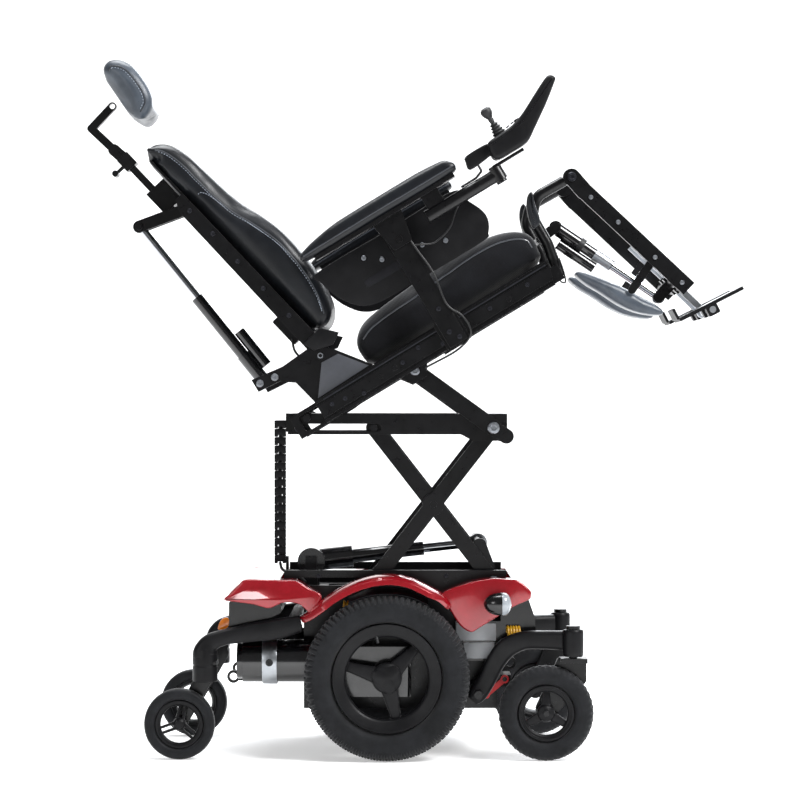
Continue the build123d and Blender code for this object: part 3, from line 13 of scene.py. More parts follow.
import bmesh
import bpy
import numpy as np
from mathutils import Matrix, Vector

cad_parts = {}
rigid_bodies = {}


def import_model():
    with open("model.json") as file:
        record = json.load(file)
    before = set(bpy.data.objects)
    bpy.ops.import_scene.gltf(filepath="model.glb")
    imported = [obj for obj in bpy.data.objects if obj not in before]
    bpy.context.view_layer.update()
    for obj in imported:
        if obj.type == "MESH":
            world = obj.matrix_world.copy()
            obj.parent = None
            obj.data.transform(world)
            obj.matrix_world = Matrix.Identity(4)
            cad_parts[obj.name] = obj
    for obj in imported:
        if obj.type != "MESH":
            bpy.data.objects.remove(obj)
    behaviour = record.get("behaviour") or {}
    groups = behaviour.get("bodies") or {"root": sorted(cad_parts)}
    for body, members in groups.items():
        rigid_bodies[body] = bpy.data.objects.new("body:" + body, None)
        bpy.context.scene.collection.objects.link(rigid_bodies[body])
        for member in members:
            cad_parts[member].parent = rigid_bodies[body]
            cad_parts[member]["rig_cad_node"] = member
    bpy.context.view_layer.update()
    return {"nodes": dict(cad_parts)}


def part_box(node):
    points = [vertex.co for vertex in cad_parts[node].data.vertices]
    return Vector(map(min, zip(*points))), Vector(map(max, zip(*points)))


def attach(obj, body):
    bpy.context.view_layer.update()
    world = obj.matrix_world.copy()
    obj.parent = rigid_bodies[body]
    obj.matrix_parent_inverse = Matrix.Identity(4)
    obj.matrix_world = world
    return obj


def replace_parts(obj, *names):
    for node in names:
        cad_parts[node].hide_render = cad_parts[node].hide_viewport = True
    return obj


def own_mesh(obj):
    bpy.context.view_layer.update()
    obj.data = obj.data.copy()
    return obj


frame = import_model()

LOG = logging.getLogger("wheelchair")
MM = 0.001
SIDES = {"left": 1.0, "right": -1.0}


# ------------------------------------------------------------------ places
class Layout:
    """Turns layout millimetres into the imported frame, from the middle of a drive wheel."""

    wheel_x = -68.0
    wheel_radius = 177.5

    @classmethod
    def shift(cls) -> float:
        """Distance in mm from the layout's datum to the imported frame's origin along X."""
        low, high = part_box("drive_wheel_left")
        return (low.x + high.x) / 2 / MM - cls.wheel_x

    @staticmethod
    def point(x: np.ndarray, y: np.ndarray, z: np.ndarray) -> np.ndarray:
        """Stack layout coordinates into points.

        Args:
            x: forward distances in mm.
            y: leftward distances in mm.
            z: heights in mm.
        Returns:
            Points in metres, last axis of length three.
        """
        x, y, z = np.broadcast_arrays(np.asarray(x, float) + SHIFT, y, z)
        return np.stack([x, y, z], axis=-1) * MM


SHIFT = Layout.shift()


@dataclass(frozen=True)
class Slant:
    """A side-view frame: u along a direction in the XZ plane, v square to it and up."""

    origin: tuple[float, float]
    angle: float

    def point(self, u: np.ndarray, v: np.ndarray, y: np.ndarray) -> np.ndarray:
        """Points in metres of frame coordinates in mm: u and v turned by the angle and moved to the origin.

        Args:
            u: distances along the frame.
            v: distances square to it.
            y: leftward distances.
        Returns:
            Points in metres.
        """
        turn = math.radians(self.angle)
        u, v = np.asarray(u, float), np.asarray(v, float)
        x = self.origin[0] + u * math.cos(turn) - v * math.sin(turn)
        z = self.origin[1] + u * math.sin(turn) + v * math.cos(turn)
        return Layout.point(x, y, z)


LEVEL = Slant((0.0, 0.0), 0.0)
SEAT = Slant((-209.0, 743.0), 31.2)
BACK = Slant((-210.88, 865.79), 133.5)
LEG = Slant((331.18, 1252.52), -43.1)


# ------------------------------------------------------------------ meshes
def mesh_object(name: str, points: np.ndarray, faces: np.ndarray, smooth: bool = True) -> bpy.types.Object:
    """Make a mesh object at the origin with its normals pointing out.

    Args:
        name: the piece's name.
        points: vertex places in metres, one row each.
        faces: vertex numbers of the faces, one row each, or a list of rows.
        smooth: shade smooth by angle.
    Returns:
        The linked object.
    """
    mesh = bpy.data.meshes.new(name)
    mesh.from_pydata(points.reshape(-1, 3).tolist(), [], [tuple(row) for row in np.asarray(faces).tolist()])
    made = bpy.data.objects.new(name, mesh)
    bpy.context.scene.collection.objects.link(made)
    turn_out(made)
    if smooth:
        mesh.shade_smooth()
        mesh.set_sharp_from_angle(angle=math.radians(38))
    return made


def turn_out(piece: bpy.types.Object) -> None:
    """Merge doubles, drop faces without area and turn every normal outwards."""
    work = bmesh_of(piece)
    bmesh.ops.remove_doubles(work, verts=work.verts, dist=1e-6)
    bmesh.ops.dissolve_degenerate(work, dist=1e-7, edges=work.edges)
    bmesh.ops.recalc_face_normals(work, faces=work.faces)
    work.to_mesh(piece.data)
    work.free()


def fill_ends(piece: bpy.types.Object) -> None:
    """Close a piece's open rims with flat faces, cut into triangles that stay inside the outline."""
    work = bmesh_of(piece)
    filled = bmesh.ops.holes_fill(work, edges=work.edges, sides=0)["faces"]
    bmesh.ops.triangulate(work, faces=filled, ngon_method="EAR_CLIP")
    bmesh.ops.recalc_face_normals(work, faces=work.faces)
    work.to_mesh(piece.data)
    work.free()


def bmesh_of(piece: bpy.types.Object) -> "bmesh.types.BMesh":
    """A bmesh copy of a piece's mesh."""
    work = bmesh.new()
    work.from_mesh(piece.data)
    return work


def grid_faces(rows: int, columns: int, wrap_rows: bool, wrap_columns: bool) -> np.ndarray:
    """Quads of a grid of points: each joins a point to the next in both directions.

    Args:
        rows: points in the first direction.
        columns: points in the second.
        wrap_rows: join the last row to the first.
        wrap_columns: join the last column to the first.
    Returns:
        Rows of four vertex numbers.
    """
    i = np.arange(rows if wrap_rows else rows - 1)[:, None]
    j = np.arange(columns if wrap_columns else columns - 1)[None, :]
    i_next, j_next = (i + 1) % rows, (j + 1) % columns
    corners = [i * columns + j, i_next * columns + j, i_next * columns + j_next, i * columns + j_next]
    return np.stack([np.broadcast_to(c, (i.size, j.size)) for c in corners], axis=-1).reshape(-1, 4)


def surface(name: str, points: np.ndarray, wrap: tuple[bool, bool], caps: bool = False) -> bpy.types.Object:
    """A piece from a grid of points, with its two open ends closed by fans where caps is set.

    Args:
        name: the piece's name.
        points: grid of places in metres, rows by columns by three.
        wrap: whether the rows and the columns close on themselves.
        caps: close the first and last row with a fan to its middle.
    Returns:
        The object.
    """
    rows, columns = points.shape[:2]
    faces = grid_faces(rows, columns, *wrap).tolist()
    flat = points.reshape(-1, 3)
    if caps:
        ends = np.array([points[0].mean(0), points[-1].mean(0)])
        flat = np.concatenate([flat, ends])
        j = np.arange(columns)
        last = (rows - 1) * columns
        first_fan = np.stack([np.full(columns, rows * columns), (j + 1) % columns, j], axis=-1)
        last_fan = np.stack([np.full(columns, rows * columns + 1), last + j, last + (j + 1) % columns], axis=-1)
        faces = faces + first_fan.tolist() + last_fan.tolist()
    mesh_faces = np.empty(len(faces), dtype=object)
    mesh_faces[:] = [tuple(row) for row in faces]
    return mesh_object(name, flat, mesh_faces)


def smooth_path(points: list, count: int, closed: bool = False) -> np.ndarray:
    """Catmull-Rom curve through points, with its samples evenly spaced along it.

    Args:
        points: places to pass through, any number of coordinates.
        count: samples.
        closed: join the end to the start.
    Returns:
        The samples, one row each.
    """
    knots = np.asarray(points, float)
    if closed:
        knots = np.concatenate([knots[-1:], knots, knots[:2]])
    else:
        knots = np.concatenate([2 * knots[:1] - knots[1:2], knots, 2 * knots[-1:] - knots[-2:-1]])
    spans = len(knots) - 3
    t = np.linspace(0, spans, spans * 40 + 1)
    k = np.minimum(t.astype(int), spans - 1)
    f = (t - k)[:, None]
    a, b, c, d = knots[k], knots[k + 1], knots[k + 2], knots[k + 3]
    curve = 0.5 * (2 * b + (c - a) * f + (2 * a - 5 * b + 4 * c - d) * f**2 + (3 * b - a - 3 * c + d) * f**3)
    steps = np.concatenate([[0.0], np.cumsum(np.linalg.norm(np.diff(curve, axis=0), axis=1))])
    wanted = np.linspace(0, steps[-1], count + 1 if closed else count)[: count]
    return np.stack([np.interp(wanted, steps, curve[:, axis]) for axis in range(curve.shape[1])], axis=-1)


def carried(path: np.ndarray, profile: np.ndarray, up: np.ndarray, closed: bool = False) -> np.ndarray:
    """Carry a profile along a path, square to it: path point + side times profile x + up times profile y.

    Args:
        path: places in metres.
        profile: outline in metres, either one outline or one per path point.
        up: direction that the profile's second axis leans to.
        closed: the path closes on itself.
    Returns:
        Grid of places, path points by profile points.
    """
    along = np.roll(path, -1, 0) - np.roll(path, 1, 0) if closed else np.gradient(path, axis=0)
    along = along / np.linalg.norm(along, axis=1, keepdims=True)
    side = np.cross(along, np.broadcast_to(up, along.shape))
    side = side / np.linalg.norm(side, axis=1, keepdims=True)
    lift = np.cross(side, along)
    if profile.ndim == 2:
        profile = np.broadcast_to(profile, (len(path), *profile.shape))
    return path[:, None, :] + side[:, None, :] * profile[..., :1] + lift[:, None, :] * profile[..., 1:2]


def ring(radius_x: float, radius_y: float, count: int, square: float = 2.0) -> np.ndarray:
    """Superellipse outline: cosine and sine raised to two over the power, keeping their signs.

    Args:
        radius_x: half width.
        radius_y: half height.
        count: points.
        square: the power, two for an ellipse and more for squarer sides.
    Returns:
        Outline points.
    """
    t = np.linspace(0, 2 * np.pi, count, endpoint=False)
    c, s = np.cos(t), np.sin(t)
    return np.stack([radius_x * np.sign(c) * np.abs(c) ** (2 / square),
                     radius_y * np.sign(s) * np.abs(s) ** (2 / square)], axis=-1)


def tube(name: str, path: np.ndarray, radius: float, sides: int = 10, up: tuple = (0.0, 1.0, 0.0),
         closed: bool = False) -> bpy.types.Object:
    """Round tube carried along a path, closed at its ends.

    Args:
        name: the piece's name.
        path: places in metres.
        radius: radius in metres.
        sides: points round it.
        up: a direction never along the path.
        closed: the path closes on itself.
    Returns:
        The object.
    """
    grid = carried(path, ring(radius, radius, sides), np.array(up), closed)
    return surface(name, grid, (closed, True), caps=not closed)


def lathe(name: str, profile: list, centre: tuple, side: float, count: int = 72) -> bpy.types.Object:
    """Turn a closed profile about an axis along Y.

    Args:
        name: the piece's name.
        profile: (radius, distance outward) points in mm, closed on themselves.
        centre: the axis's x and z and the middle's y, in layout mm.
        side: which way outward is, plus or minus one.
        count: steps round.
    Returns:
        The object.
    """
    radius, out = np.asarray(profile, float).T
    t = np.linspace(0, 2 * np.pi, count, endpoint=False)[:, None]
    grid = Layout.point(centre[0] + radius * np.cos(t), side * (centre[2] + out) + 0 * t,
                        centre[1] + radius * np.sin(t))
    return surface(name, grid, (True, True))


def slab(name: str, outline: np.ndarray, where: Slant, y_range: tuple, crown: float = 0.0,
         rounding: float = 1.5, samples: int = 0) -> bpy.types.Object:
    """Thick plate: the outline is drawn in a little at both faces, so its rim is rounded over.

    The grid runs across the thickness in eight steps, and each step scales the outline's inset by a quarter circle.

    Args:
        name: the piece's name.
        outline: side outline in mm in the frame where.
        where: the outline's frame.
        y_range: the two faces in layout mm.
        crown: how far the face's middle bulges outward in mm.
        rounding: radius of the rim in mm.
        samples: points of a smooth curve through the outline, or none to keep its corners.
    Returns:
        The object.
    """
    loop = smooth_path(list(outline), samples, closed=True) if samples else np.asarray(outline, float)
    low, high = sorted(y_range)
    t = np.linspace(0, np.pi / 2, 5)
    inset = rounding * np.concatenate([1 - np.sin(t), (1 - np.sin(t))[::-1]])
    y = np.concatenate([low + rounding * (1 - np.cos(t)), high - rounding * (1 - np.cos(t))[::-1]])
    nearby = np.roll(loop, -1, 0) - np.roll(loop, 1, 0)
    normal = np.stack([nearby[:, 1], -nearby[:, 0]], axis=-1)
    normal /= np.linalg.norm(normal, axis=1, keepdims=True) + 1e-9
    area = np.sum(loop[:, 0] * np.roll(loop[:, 1], -1) - np.roll(loop[:, 0], -1) * loop[:, 1])
    drawn = loop[None] - np.sign(area) * normal[None] * inset[:, None, None]
    if not crown:
        plate = surface(name, where.point(drawn[..., 0], drawn[..., 1], np.broadcast_to(y[:, None], drawn.shape[:2])),
                        (False, True), caps=False)
        fill_ends(plate)
        return plate
    middle = loop.mean(0)
    rings = [middle + (drawn[0] - middle) * k for k in (0.35, 0.7)]
    ends = [middle + (drawn[-1] - middle) * k for k in (0.7, 0.35)]
    stack = np.concatenate([np.array(rings), drawn, np.array(ends)])
    depth = np.concatenate([[low - crown, low - crown * 0.6], y, [high + crown * 0.6, high + crown]])
    grid = where.point(stack[..., 0], stack[..., 1], np.broadcast_to(depth[:, None], stack.shape[:2]))
    return surface(name, grid, (False, True), caps=True)


def joined(name: str, parts: list) -> bpy.types.Object:
    """Join several pieces into one mesh object.

    Args:
        name: the joined piece's name.
        parts: the pieces.
    Returns:
        The first piece, holding them all.
    """
    with bpy.context.temp_override(active_object=parts[0], object=parts[0], selected_objects=parts,
                                   selected_editable_objects=parts):
        bpy.ops.object.join()
    parts[0].name = name
    parts[0].data.name = name
    return parts[0]


# ------------------------------------------------------------------ finishes
def linear(hex_code: str) -> tuple[float, float, float, float]:
    """An sRGB hex colour as linear light with full alpha: the standard curve on each channel."""
    channels = [int(hex_code[i:i + 2], 16) / 255 for i in (0, 2, 4)]
    light = [c / 12.92 if c <= 0.04045 else ((c + 0.055) / 1.055) ** 2.4 for c in channels]
    return (*light, 1.0)


def add_node(tree: bpy.types.NodeTree, kind: str, inputs: dict | None = None, **settings) -> bpy.types.Node:
    """Add one shader node.

    Args:
        tree: the material's node tree.
        kind: the node's type.
        inputs: a value or another node's output for each named or numbered socket.
        settings: the node's own properties.
    Returns:
        The node.
    """
    made = tree.nodes.new(kind)
    for name, value in settings.items():
        setattr(made, name, value)
    for name, value in (inputs or {}).items():
        if isinstance(value, bpy.types.NodeSocket):
            tree.links.new(value, made.inputs[name])
        else:
            made.inputs[name].default_value = value
    return made


class Grain(Enum):
    """How a surface's fine relief was made."""

    PEEL = "sprayed or powdered coat that flowed to a slight orange peel"
    SPARK = "mould face etched by sparks"
    BRUSHED = "drawn or brushed in one direction"
    HIDE = "embossed like hide"
    MESH = "knitted in two crossing directions"
    SKIN = "rubber from a blasted mould"
    POLISH = "ground and polished"


@dataclass(frozen=True)
class Finish:
    """One real material and how its surface was made."""

    name: str
    slot: str
    base: str
    second: str
    roughness: float
    spread: float
    grain: Grain
    grain_mm: float
    depth_mm: float
    metallic: float = 0.0
    coat: float = 0.0
    coat_roughness: float = 0.05
    sheen: float = 0.0
    sheen_roughness: float = 0.5
    specular: float = 0.5
    patch_mm: float = 60.0
    round_mm: float = 0.0
    transmission: float = 0.0

    def relief(self, tree: bpy.types.NodeTree, place: bpy.types.NodeSocket) -> bpy.types.NodeSocket:
        """Height of the fine relief, from the grain's kind and its size in mm.

        Args:
            tree: the material's node tree.
            place: object coordinates in metres.
        Returns:
            The height output.
        """
        pitch = 1.0 / (self.grain_mm * MM)
        if self.grain is Grain.MESH:
            heights = []
            for turn in (math.radians(45), math.radians(-45)):
                turned = add_node(tree, "ShaderNodeMapping", {"Vector": place, "Rotation": (turn, turn, 0.3)})
                wave = add_node(tree, "ShaderNodeTexWave",
                                {"Vector": turned.outputs["Vector"], "Scale": pitch * 0.16, "Distortion": 0.4,
                                 "Detail": 1.0, "Detail Scale": 1.5})
                heights.append(wave.outputs["Fac"])
            both = add_node(tree, "ShaderNodeMath", {0: heights[0], 1: heights[1]}, operation="MULTIPLY")
            return both.outputs["Value"]
        if self.grain is Grain.BRUSHED:
            drawn = add_node(tree, "ShaderNodeMapping", {"Vector": place, "Scale": (1.0, 12.0, 1.0)})
            place = drawn.outputs["Vector"]
        if self.grain in (Grain.HIDE, Grain.SPARK):
            cells = add_node(tree, "ShaderNodeTexVoronoi", {"Vector": place, "Scale": pitch, "Smoothness": 0.6},
                             feature="SMOOTH_F1")
            folds = add_node(tree, "ShaderNodeTexNoise", {"Vector": place, "Scale": pitch * 0.4, "Detail": 3.0})
            both = add_node(tree, "ShaderNodeMath", {0: cells.outputs["Distance"], 1: folds.outputs["Fac"]},
                            operation="ADD")
            return both.outputs["Value"]
        noise = add_node(tree, "ShaderNodeTexNoise", {"Vector": place, "Scale": pitch, "Detail": 4.0,
                                                      "Roughness": 0.55})
        return noise.outputs["Fac"]

    def build(self) -> bpy.types.Material:
        """Make the material: patchy colour, uneven roughness and relief around one shader.

        Returns:
            The material.
        """
        made = bpy.data.materials.new(self.name)
        made.use_nodes = True
        tree = made.node_tree
        tree.nodes.clear()
        place = add_node(tree, "ShaderNodeTexCoord").outputs["Object"]
        patches = add_node(tree, "ShaderNodeTexNoise", {"Vector": place, "Scale": 1.0 / (self.patch_mm * MM),
                                                        "Detail": 5.0, "Roughness": 0.6})
        share = add_node(tree, "ShaderNodeMapRange", {"Value": patches.outputs["Fac"], "From Min": 0.35,
                                                      "From Max": 0.65})
        colour = self.mixed(tree, share.outputs["Result"])
        smudges = add_node(tree, "ShaderNodeTexNoise", {"Vector": place, "Scale": 3.1 / (self.patch_mm * MM),
                                                        "Detail": 6.0, "Roughness": 0.65})
        uneven = add_node(tree, "ShaderNodeMapRange",
                          {"Value": smudges.outputs["Fac"], "From Min": 0.3, "From Max": 0.7,
                           "To Min": max(self.roughness - self.spread, 0.02),
                           "To Max": min(self.roughness + self.spread, 1.0)})
        bump = add_node(tree, "ShaderNodeBump", {"Height": self.relief(tree, place), "Strength": 1.0,
                                                 "Distance": self.depth_mm * MM})
        if self.round_mm:
            edge = add_node(tree, "ShaderNodeBevel", {"Radius": self.round_mm * MM}, samples=4)
            tree.links.new(edge.outputs["Normal"], bump.inputs["Normal"])
        shader = add_node(tree, "ShaderNodeBsdfPrincipled",
                          {"Base Color": colour, "Metallic": self.metallic, "Roughness": uneven.outputs["Result"],
                           "Normal": bump.outputs["Normal"], "Coat Weight": self.coat,
                           "Coat Roughness": self.coat_roughness, "Specular IOR Level": self.specular,
                           "Sheen Weight": self.sheen,
                           "Sheen Roughness": self.sheen_roughness, "Transmission Weight": self.transmission})
        add_node(tree, "ShaderNodeOutputMaterial", {"Surface": shader.outputs["BSDF"]})
        return made

    def mixed(self, tree: bpy.types.NodeTree, share: bpy.types.NodeSocket) -> bpy.types.NodeSocket:
        """The patchy colour: a ramp from the base to the second colour by share."""
        ramp = add_node(tree, "ShaderNodeValToRGB", {"Fac": share})
        ramp.color_ramp.elements[0].color = linear(self.base)
        ramp.color_ramp.elements[1].color = linear(self.second)
        return ramp.outputs["Color"]


# Mild steel tube and plate, shot-blasted and powder-coated: deep black, a soft orange peel, bright at the edges.
BLACK_POWDER_COAT = Finish("black_powder_coat_on_steel", "black_steel", "060607", "0B0B0D", 0.32, 0.07, Grain.PEEL,
                           2.2, 0.05, coat=0.25, coat_roughness=0.18, round_mm=1.6, specular=0.22)
# Glass-filled nylon, moulded in a spark-etched tool: matt charcoal with a soft wide highlight.
MOULDED_NYLON = Finish("moulded_nylon", "black_plastic", "0B0B0D", "121214", 0.42, 0.07, Grain.SPARK,
                       1.1, 0.05, round_mm=1.4, specular=0.2)
# ABS moulded in a polished tool: near-black with a clean gloss.
GLOSS_ABS = Finish("gloss_abs", "black_plastic", "050506", "09090B", 0.22, 0.05, Grain.PEEL, 4.0, 0.02, coat=0.35,
                   round_mm=1.2)
# ABS cover, sprayed with metallic red base coat under clear lacquer: candy red that whitens at a glance.
RED_LACQUER = Finish("red_metallic_lacquer", "red_shell", "8C0715", "960A1A", 0.24, 0.03, Grain.PEEL, 3.0, 0.012,
                     metallic=0.25, coat=1.0, coat_roughness=0.04, patch_mm=14.0, round_mm=2.0)
# The cover's inside face, moulded and unpainted: dark and matt.
COVER_INSIDE = Finish("unpainted_abs", "black_plastic", "17171A", "1F1F23", 0.5, 0.06, Grain.SPARK, 1.2, 0.04,
                      specular=0.15)
# Motor can, drawn steel in black enamel: a hard, glassy highlight along its length.
MOTOR_ENAMEL = Finish("motor_enamel", "motor_enamel", "08080A", "0D0D10", 0.22, 0.05, Grain.PEEL, 3.0, 0.02,
                      coat=0.8, coat_roughness=0.08, round_mm=1.5)
# Aluminium extrusion, drawn and clear-anodised: fine lines along it and a satin glare.
ANODISED = Finish("clear_anodised_aluminium", "anodised", "A9ADB2", "BEC1C6", 0.34, 0.07, Grain.BRUSHED, 0.9, 0.02,
                  metallic=1.0, round_mm=1.0)
# Ground and hard-chromed piston rod: a mirror with faint rings.
CHROMED = Finish("hard_chromed_steel", "bright_steel", "C9CCD1", "DADCE0", 0.10, 0.04, Grain.POLISH, 1.5, 0.005,
                 metallic=1.0)
# Zinc-plated steel screws and pins, tumbled: grey-silver, a little cloudy.
ZINC = Finish("zinc_plated_steel", "bright_steel", "8D9198", "A6AAB0", 0.33, 0.10, Grain.POLISH, 1.2, 0.02,
              metallic=1.0, patch_mm=9.0)
# Black-oxide cap screws: dull metal, slightly oily.
BLACK_OXIDE = Finish("black_oxide_steel", "black_steel", "26272B", "33343A", 0.38, 0.08, Grain.POLISH, 1.0, 0.02,
                     metallic=0.8, patch_mm=6.0)
# Tyre: carbon-black rubber from a blasted mould, with a grey bloom from use.
TYRE_RUBBER = Finish("carbon_black_rubber", "tyre", "121315", "1C1D20", 0.66, 0.10, Grain.SKIN, 1.4, 0.10,
                     sheen=0.12, patch_mm=45.0, specular=0.15)
# Cast polyurethane caster tread: smoother and a touch greyer.
CASTER_URETHANE = Finish("cast_polyurethane", "caster_tyre", "131416", "1C1D20", 0.55, 0.08, Grain.SKIN, 2.0, 0.06,
                         sheen=0.08, patch_mm=38.0, specular=0.15)
# Cushion cover: polyester spacer knit, close and soft, with a short nap that catches light at its edge.
SPACER_KNIT = Finish("polyester_spacer_knit", "fabric", "0C0C0F", "131418", 0.80, 0.06, Grain.MESH, 2.4, 0.22,
                     sheen=0.30, sheen_roughness=0.45, patch_mm=90.0, specular=0.12)
# Coated upholstery: polyurethane skin over knit, embossed like hide: a broad blue-white sheen.
COATED_FABRIC = Finish("polyurethane_coated_knit", "vinyl", "0C0E12", "13161B", 0.36, 0.08, Grain.HIDE, 1.8, 0.10,
                       coat=0.12, coat_roughness=0.3, sheen=0.04, patch_mm=70.0, specular=0.25)
# The same upholstery in grey, on the headrest and calf pads.
GREY_COATED_FABRIC = Finish("grey_coated_knit", "vinyl", "3A4048", "4A515A", 0.34, 0.08, Grain.HIDE, 1.8, 0.10,
                            coat=0.12, coat_roughness=0.3, sheen=0.06, patch_mm=60.0, specular=0.3)
# Polyester sewing thread, bonded: pale grey with a slight shine.
THREAD = Finish("bonded_thread", "fabric", "8A93A0", "9DA6B2", 0.5, 0.08, Grain.SKIN, 0.6, 0.05, sheen=0.3)
# Piping: coated tape folded over a cord.
PIPING = Finish("piping_tape", "vinyl", "23262C", "30343B", 0.34, 0.06, Grain.HIDE, 1.4, 0.06, coat=0.4)
# Battery case: polypropylene, moulded with a fine texture.
POLYPROPYLENE = Finish("polypropylene", "battery_case", "1A1B1E", "232428", 0.5, 0.06, Grain.SPARK, 1.4, 0.05,
                       specular=0.2)
# Polycarbonate lens, frosted behind its face: pale grey and glossy.
LENS = Finish("frosted_polycarbonate", "lens", "8F959B", "9DA3A9", 0.22, 0.04, Grain.PEEL, 2.0, 0.02, coat=1.0,
              patch_mm=7.0)
# Reflector: orange acrylic moulded with prisms.
ORANGE_ACRYLIC = Finish("orange_acrylic", "lens", "E07010", "F08A20", 0.15, 0.04, Grain.SPARK, 2.5, 0.15, coat=1.0)
# Release levers: red nylon.
RED_NYLON = Finish("red_nylon", "red_lever", "A41218", "B81A20", 0.38, 0.06, Grain.SPARK, 1.2, 0.04, round_mm=1.0)
# Coil springs: yellow powder coat on spring steel.
YELLOW_COAT = Finish("yellow_powder_coat", "black_steel", "B98A10", "C99A1C", 0.36, 0.06, Grain.PEEL, 1.6, 0.04)
# Boots, sleeves and grips: nitrile rubber.
NITRILE = Finish("nitrile_rubber", "rubber", "101113", "18191B", 0.55, 0.08, Grain.SKIN, 0.9, 0.05)
# Cable sheath: soft PVC with a satin skin.
PVC_SHEATH = Finish("soft_pvc", "rubber", "0D0D0F", "141416", 0.4, 0.06, Grain.SKIN, 0.8, 0.02)
# Blank rating plate: printed polyester film, pale grey, satin.
PLATE_FILM = Finish("polyester_label_film", "anodised", "A2A5A9", "AEB1B4", 0.42, 0.05, Grain.PEEL, 3.0, 0.01,
                    metallic=0.3)
# Grey moulded panel behind the seat rails: ABS, etched.
GREY_ABS = Finish("grey_abs", "black_plastic", "3B3D42", "45474D", 0.45, 0.05, Grain.SPARK, 1.2, 0.04)

MADE: dict[str, bpy.types.Material] = {}


def dress(piece: bpy.types.Object, finish: Finish) -> bpy.types.Object:
    """Give a piece one finish over all its faces.

    Args:
        piece: a new piece or a CAD node's object.
        finish: the finish.
    Returns:
        The piece.
    """
    if finish.name not in MADE:
        MADE[finish.name] = finish.build()
    piece.data.materials.clear()
    piece.data.materials.append(MADE[finish.name])
    return piece


def settle(piece: bpy.types.Object, body: str, finish: Finish) -> bpy.types.Object:
    """Dress a new piece and let it ride on a body."""
    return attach(dress(piece, finish), body)


# ------------------------------------------------------------------ soft goods
def points_of(piece: bpy.types.Object, evaluated: bool = False) -> np.ndarray:
    """A piece's vertex places in metres, with its modifiers if evaluated is set."""
    source = piece.evaluated_get(bpy.context.evaluated_depsgraph_get()) if evaluated else piece
    flat = np.zeros(len(source.data.vertices) * 3, np.float32)
    source.data.vertices.foreach_get("co", flat)
    return flat.reshape(-1, 3).astype(float)


def bake_modifiers(piece: bpy.types.Object) -> None:
    """Replace a piece's mesh by what its modifiers make of it now."""
    graph = bpy.context.evaluated_depsgraph_get()
    mesh = bpy.data.meshes.new_from_object(piece.evaluated_get(graph))
    piece.modifiers.clear()
    piece.data = mesh
    mesh.shade_smooth()


def laid_on(path: np.ndarray, target: bpy.types.Object, lift: float) -> np.ndarray:
    """Nearest places on a piece's surface to a path, raised by lift.

    Args:
        path: places in metres.
        target: the piece.
        lift: height above the surface in metres.
    Returns:
        The laid path.
    """
    mesh = bpy.data.meshes.new("laid_path")
    mesh.from_pydata(path.tolist(), [(i, i + 1) for i in range(len(path) - 1)], [])
    helper = bpy.data.objects.new("laid_path", mesh)
    bpy.context.scene.collection.objects.link(helper)
    wrap = helper.modifiers.new("wrap", "SHRINKWRAP")
    wrap.target = target
    wrap.wrap_mode = "ABOVE_SURFACE"
    wrap.offset = lift
    bpy.context.view_layer.update()
    laid = points_of(helper, evaluated=True)
    bpy.data.objects.remove(helper)
    kernel = np.array([0.25, 0.5, 0.25])
    for _ in range(3):
        inner = np.stack([np.convolve(laid[:, axis], kernel, mode="valid") for axis in range(3)], axis=-1)
        laid[1:-1] = inner
    return laid


def stitches(name: str, path: np.ndarray, pitch: float, length: float, radius: float) -> bpy.types.Object:
    """A row of short stitches along a path: each is a six-sided lozenge from one share of the pitch to the next.

    Args:
        name: the piece's name.
        path: places in metres.
        pitch: distance between stitches in metres.
        length: length of each in metres.
        radius: half thickness in metres.
    Returns:
        One object holding them all.
    """
    steps = np.concatenate([[0.0], np.cumsum(np.linalg.norm(np.diff(path, axis=0), axis=1))])
    starts = np.arange(pitch, steps[-1] - pitch, pitch)
    shares = np.array([0.0, 0.25, 0.75, 1.0])
    wanted = starts[:, None] + length * shares
    places = np.stack([np.interp(wanted, steps, path[:, axis]) for axis in range(3)], axis=-1)
    along = places[:, -1] - places[:, 0]
    along /= np.linalg.norm(along, axis=1, keepdims=True)
    side = np.cross(along, np.array([0.02, 1.0, 0.01]))
    side /= np.linalg.norm(side, axis=1, keepdims=True)
    lift = np.cross(side, along)
    t = np.linspace(0, 2 * np.pi, 6, endpoint=False)
    width = np.array([0.15, 1.0, 1.0, 0.15]) * radius
    around = t[None, None, :, None]
    offset = side[:, None, None, :] * np.cos(around) + lift[:, None, None, :] * np.sin(around)
    grid = places[:, :, None, :] + offset * width[None, :, None, None]
    one = grid_faces(4, 6, False, True)
    caps = np.array([[3, 2, 1, 0], [5, 4, 3, 0], [18, 19, 20, 21], [18, 21, 22, 23]])
    one = np.concatenate([one, caps])
    faces = (np.arange(len(starts))[:, None, None] * 24 + one[None]).reshape(-1, 4)
    return mesh_object(name, grid.reshape(-1, 3), faces, smooth=False)


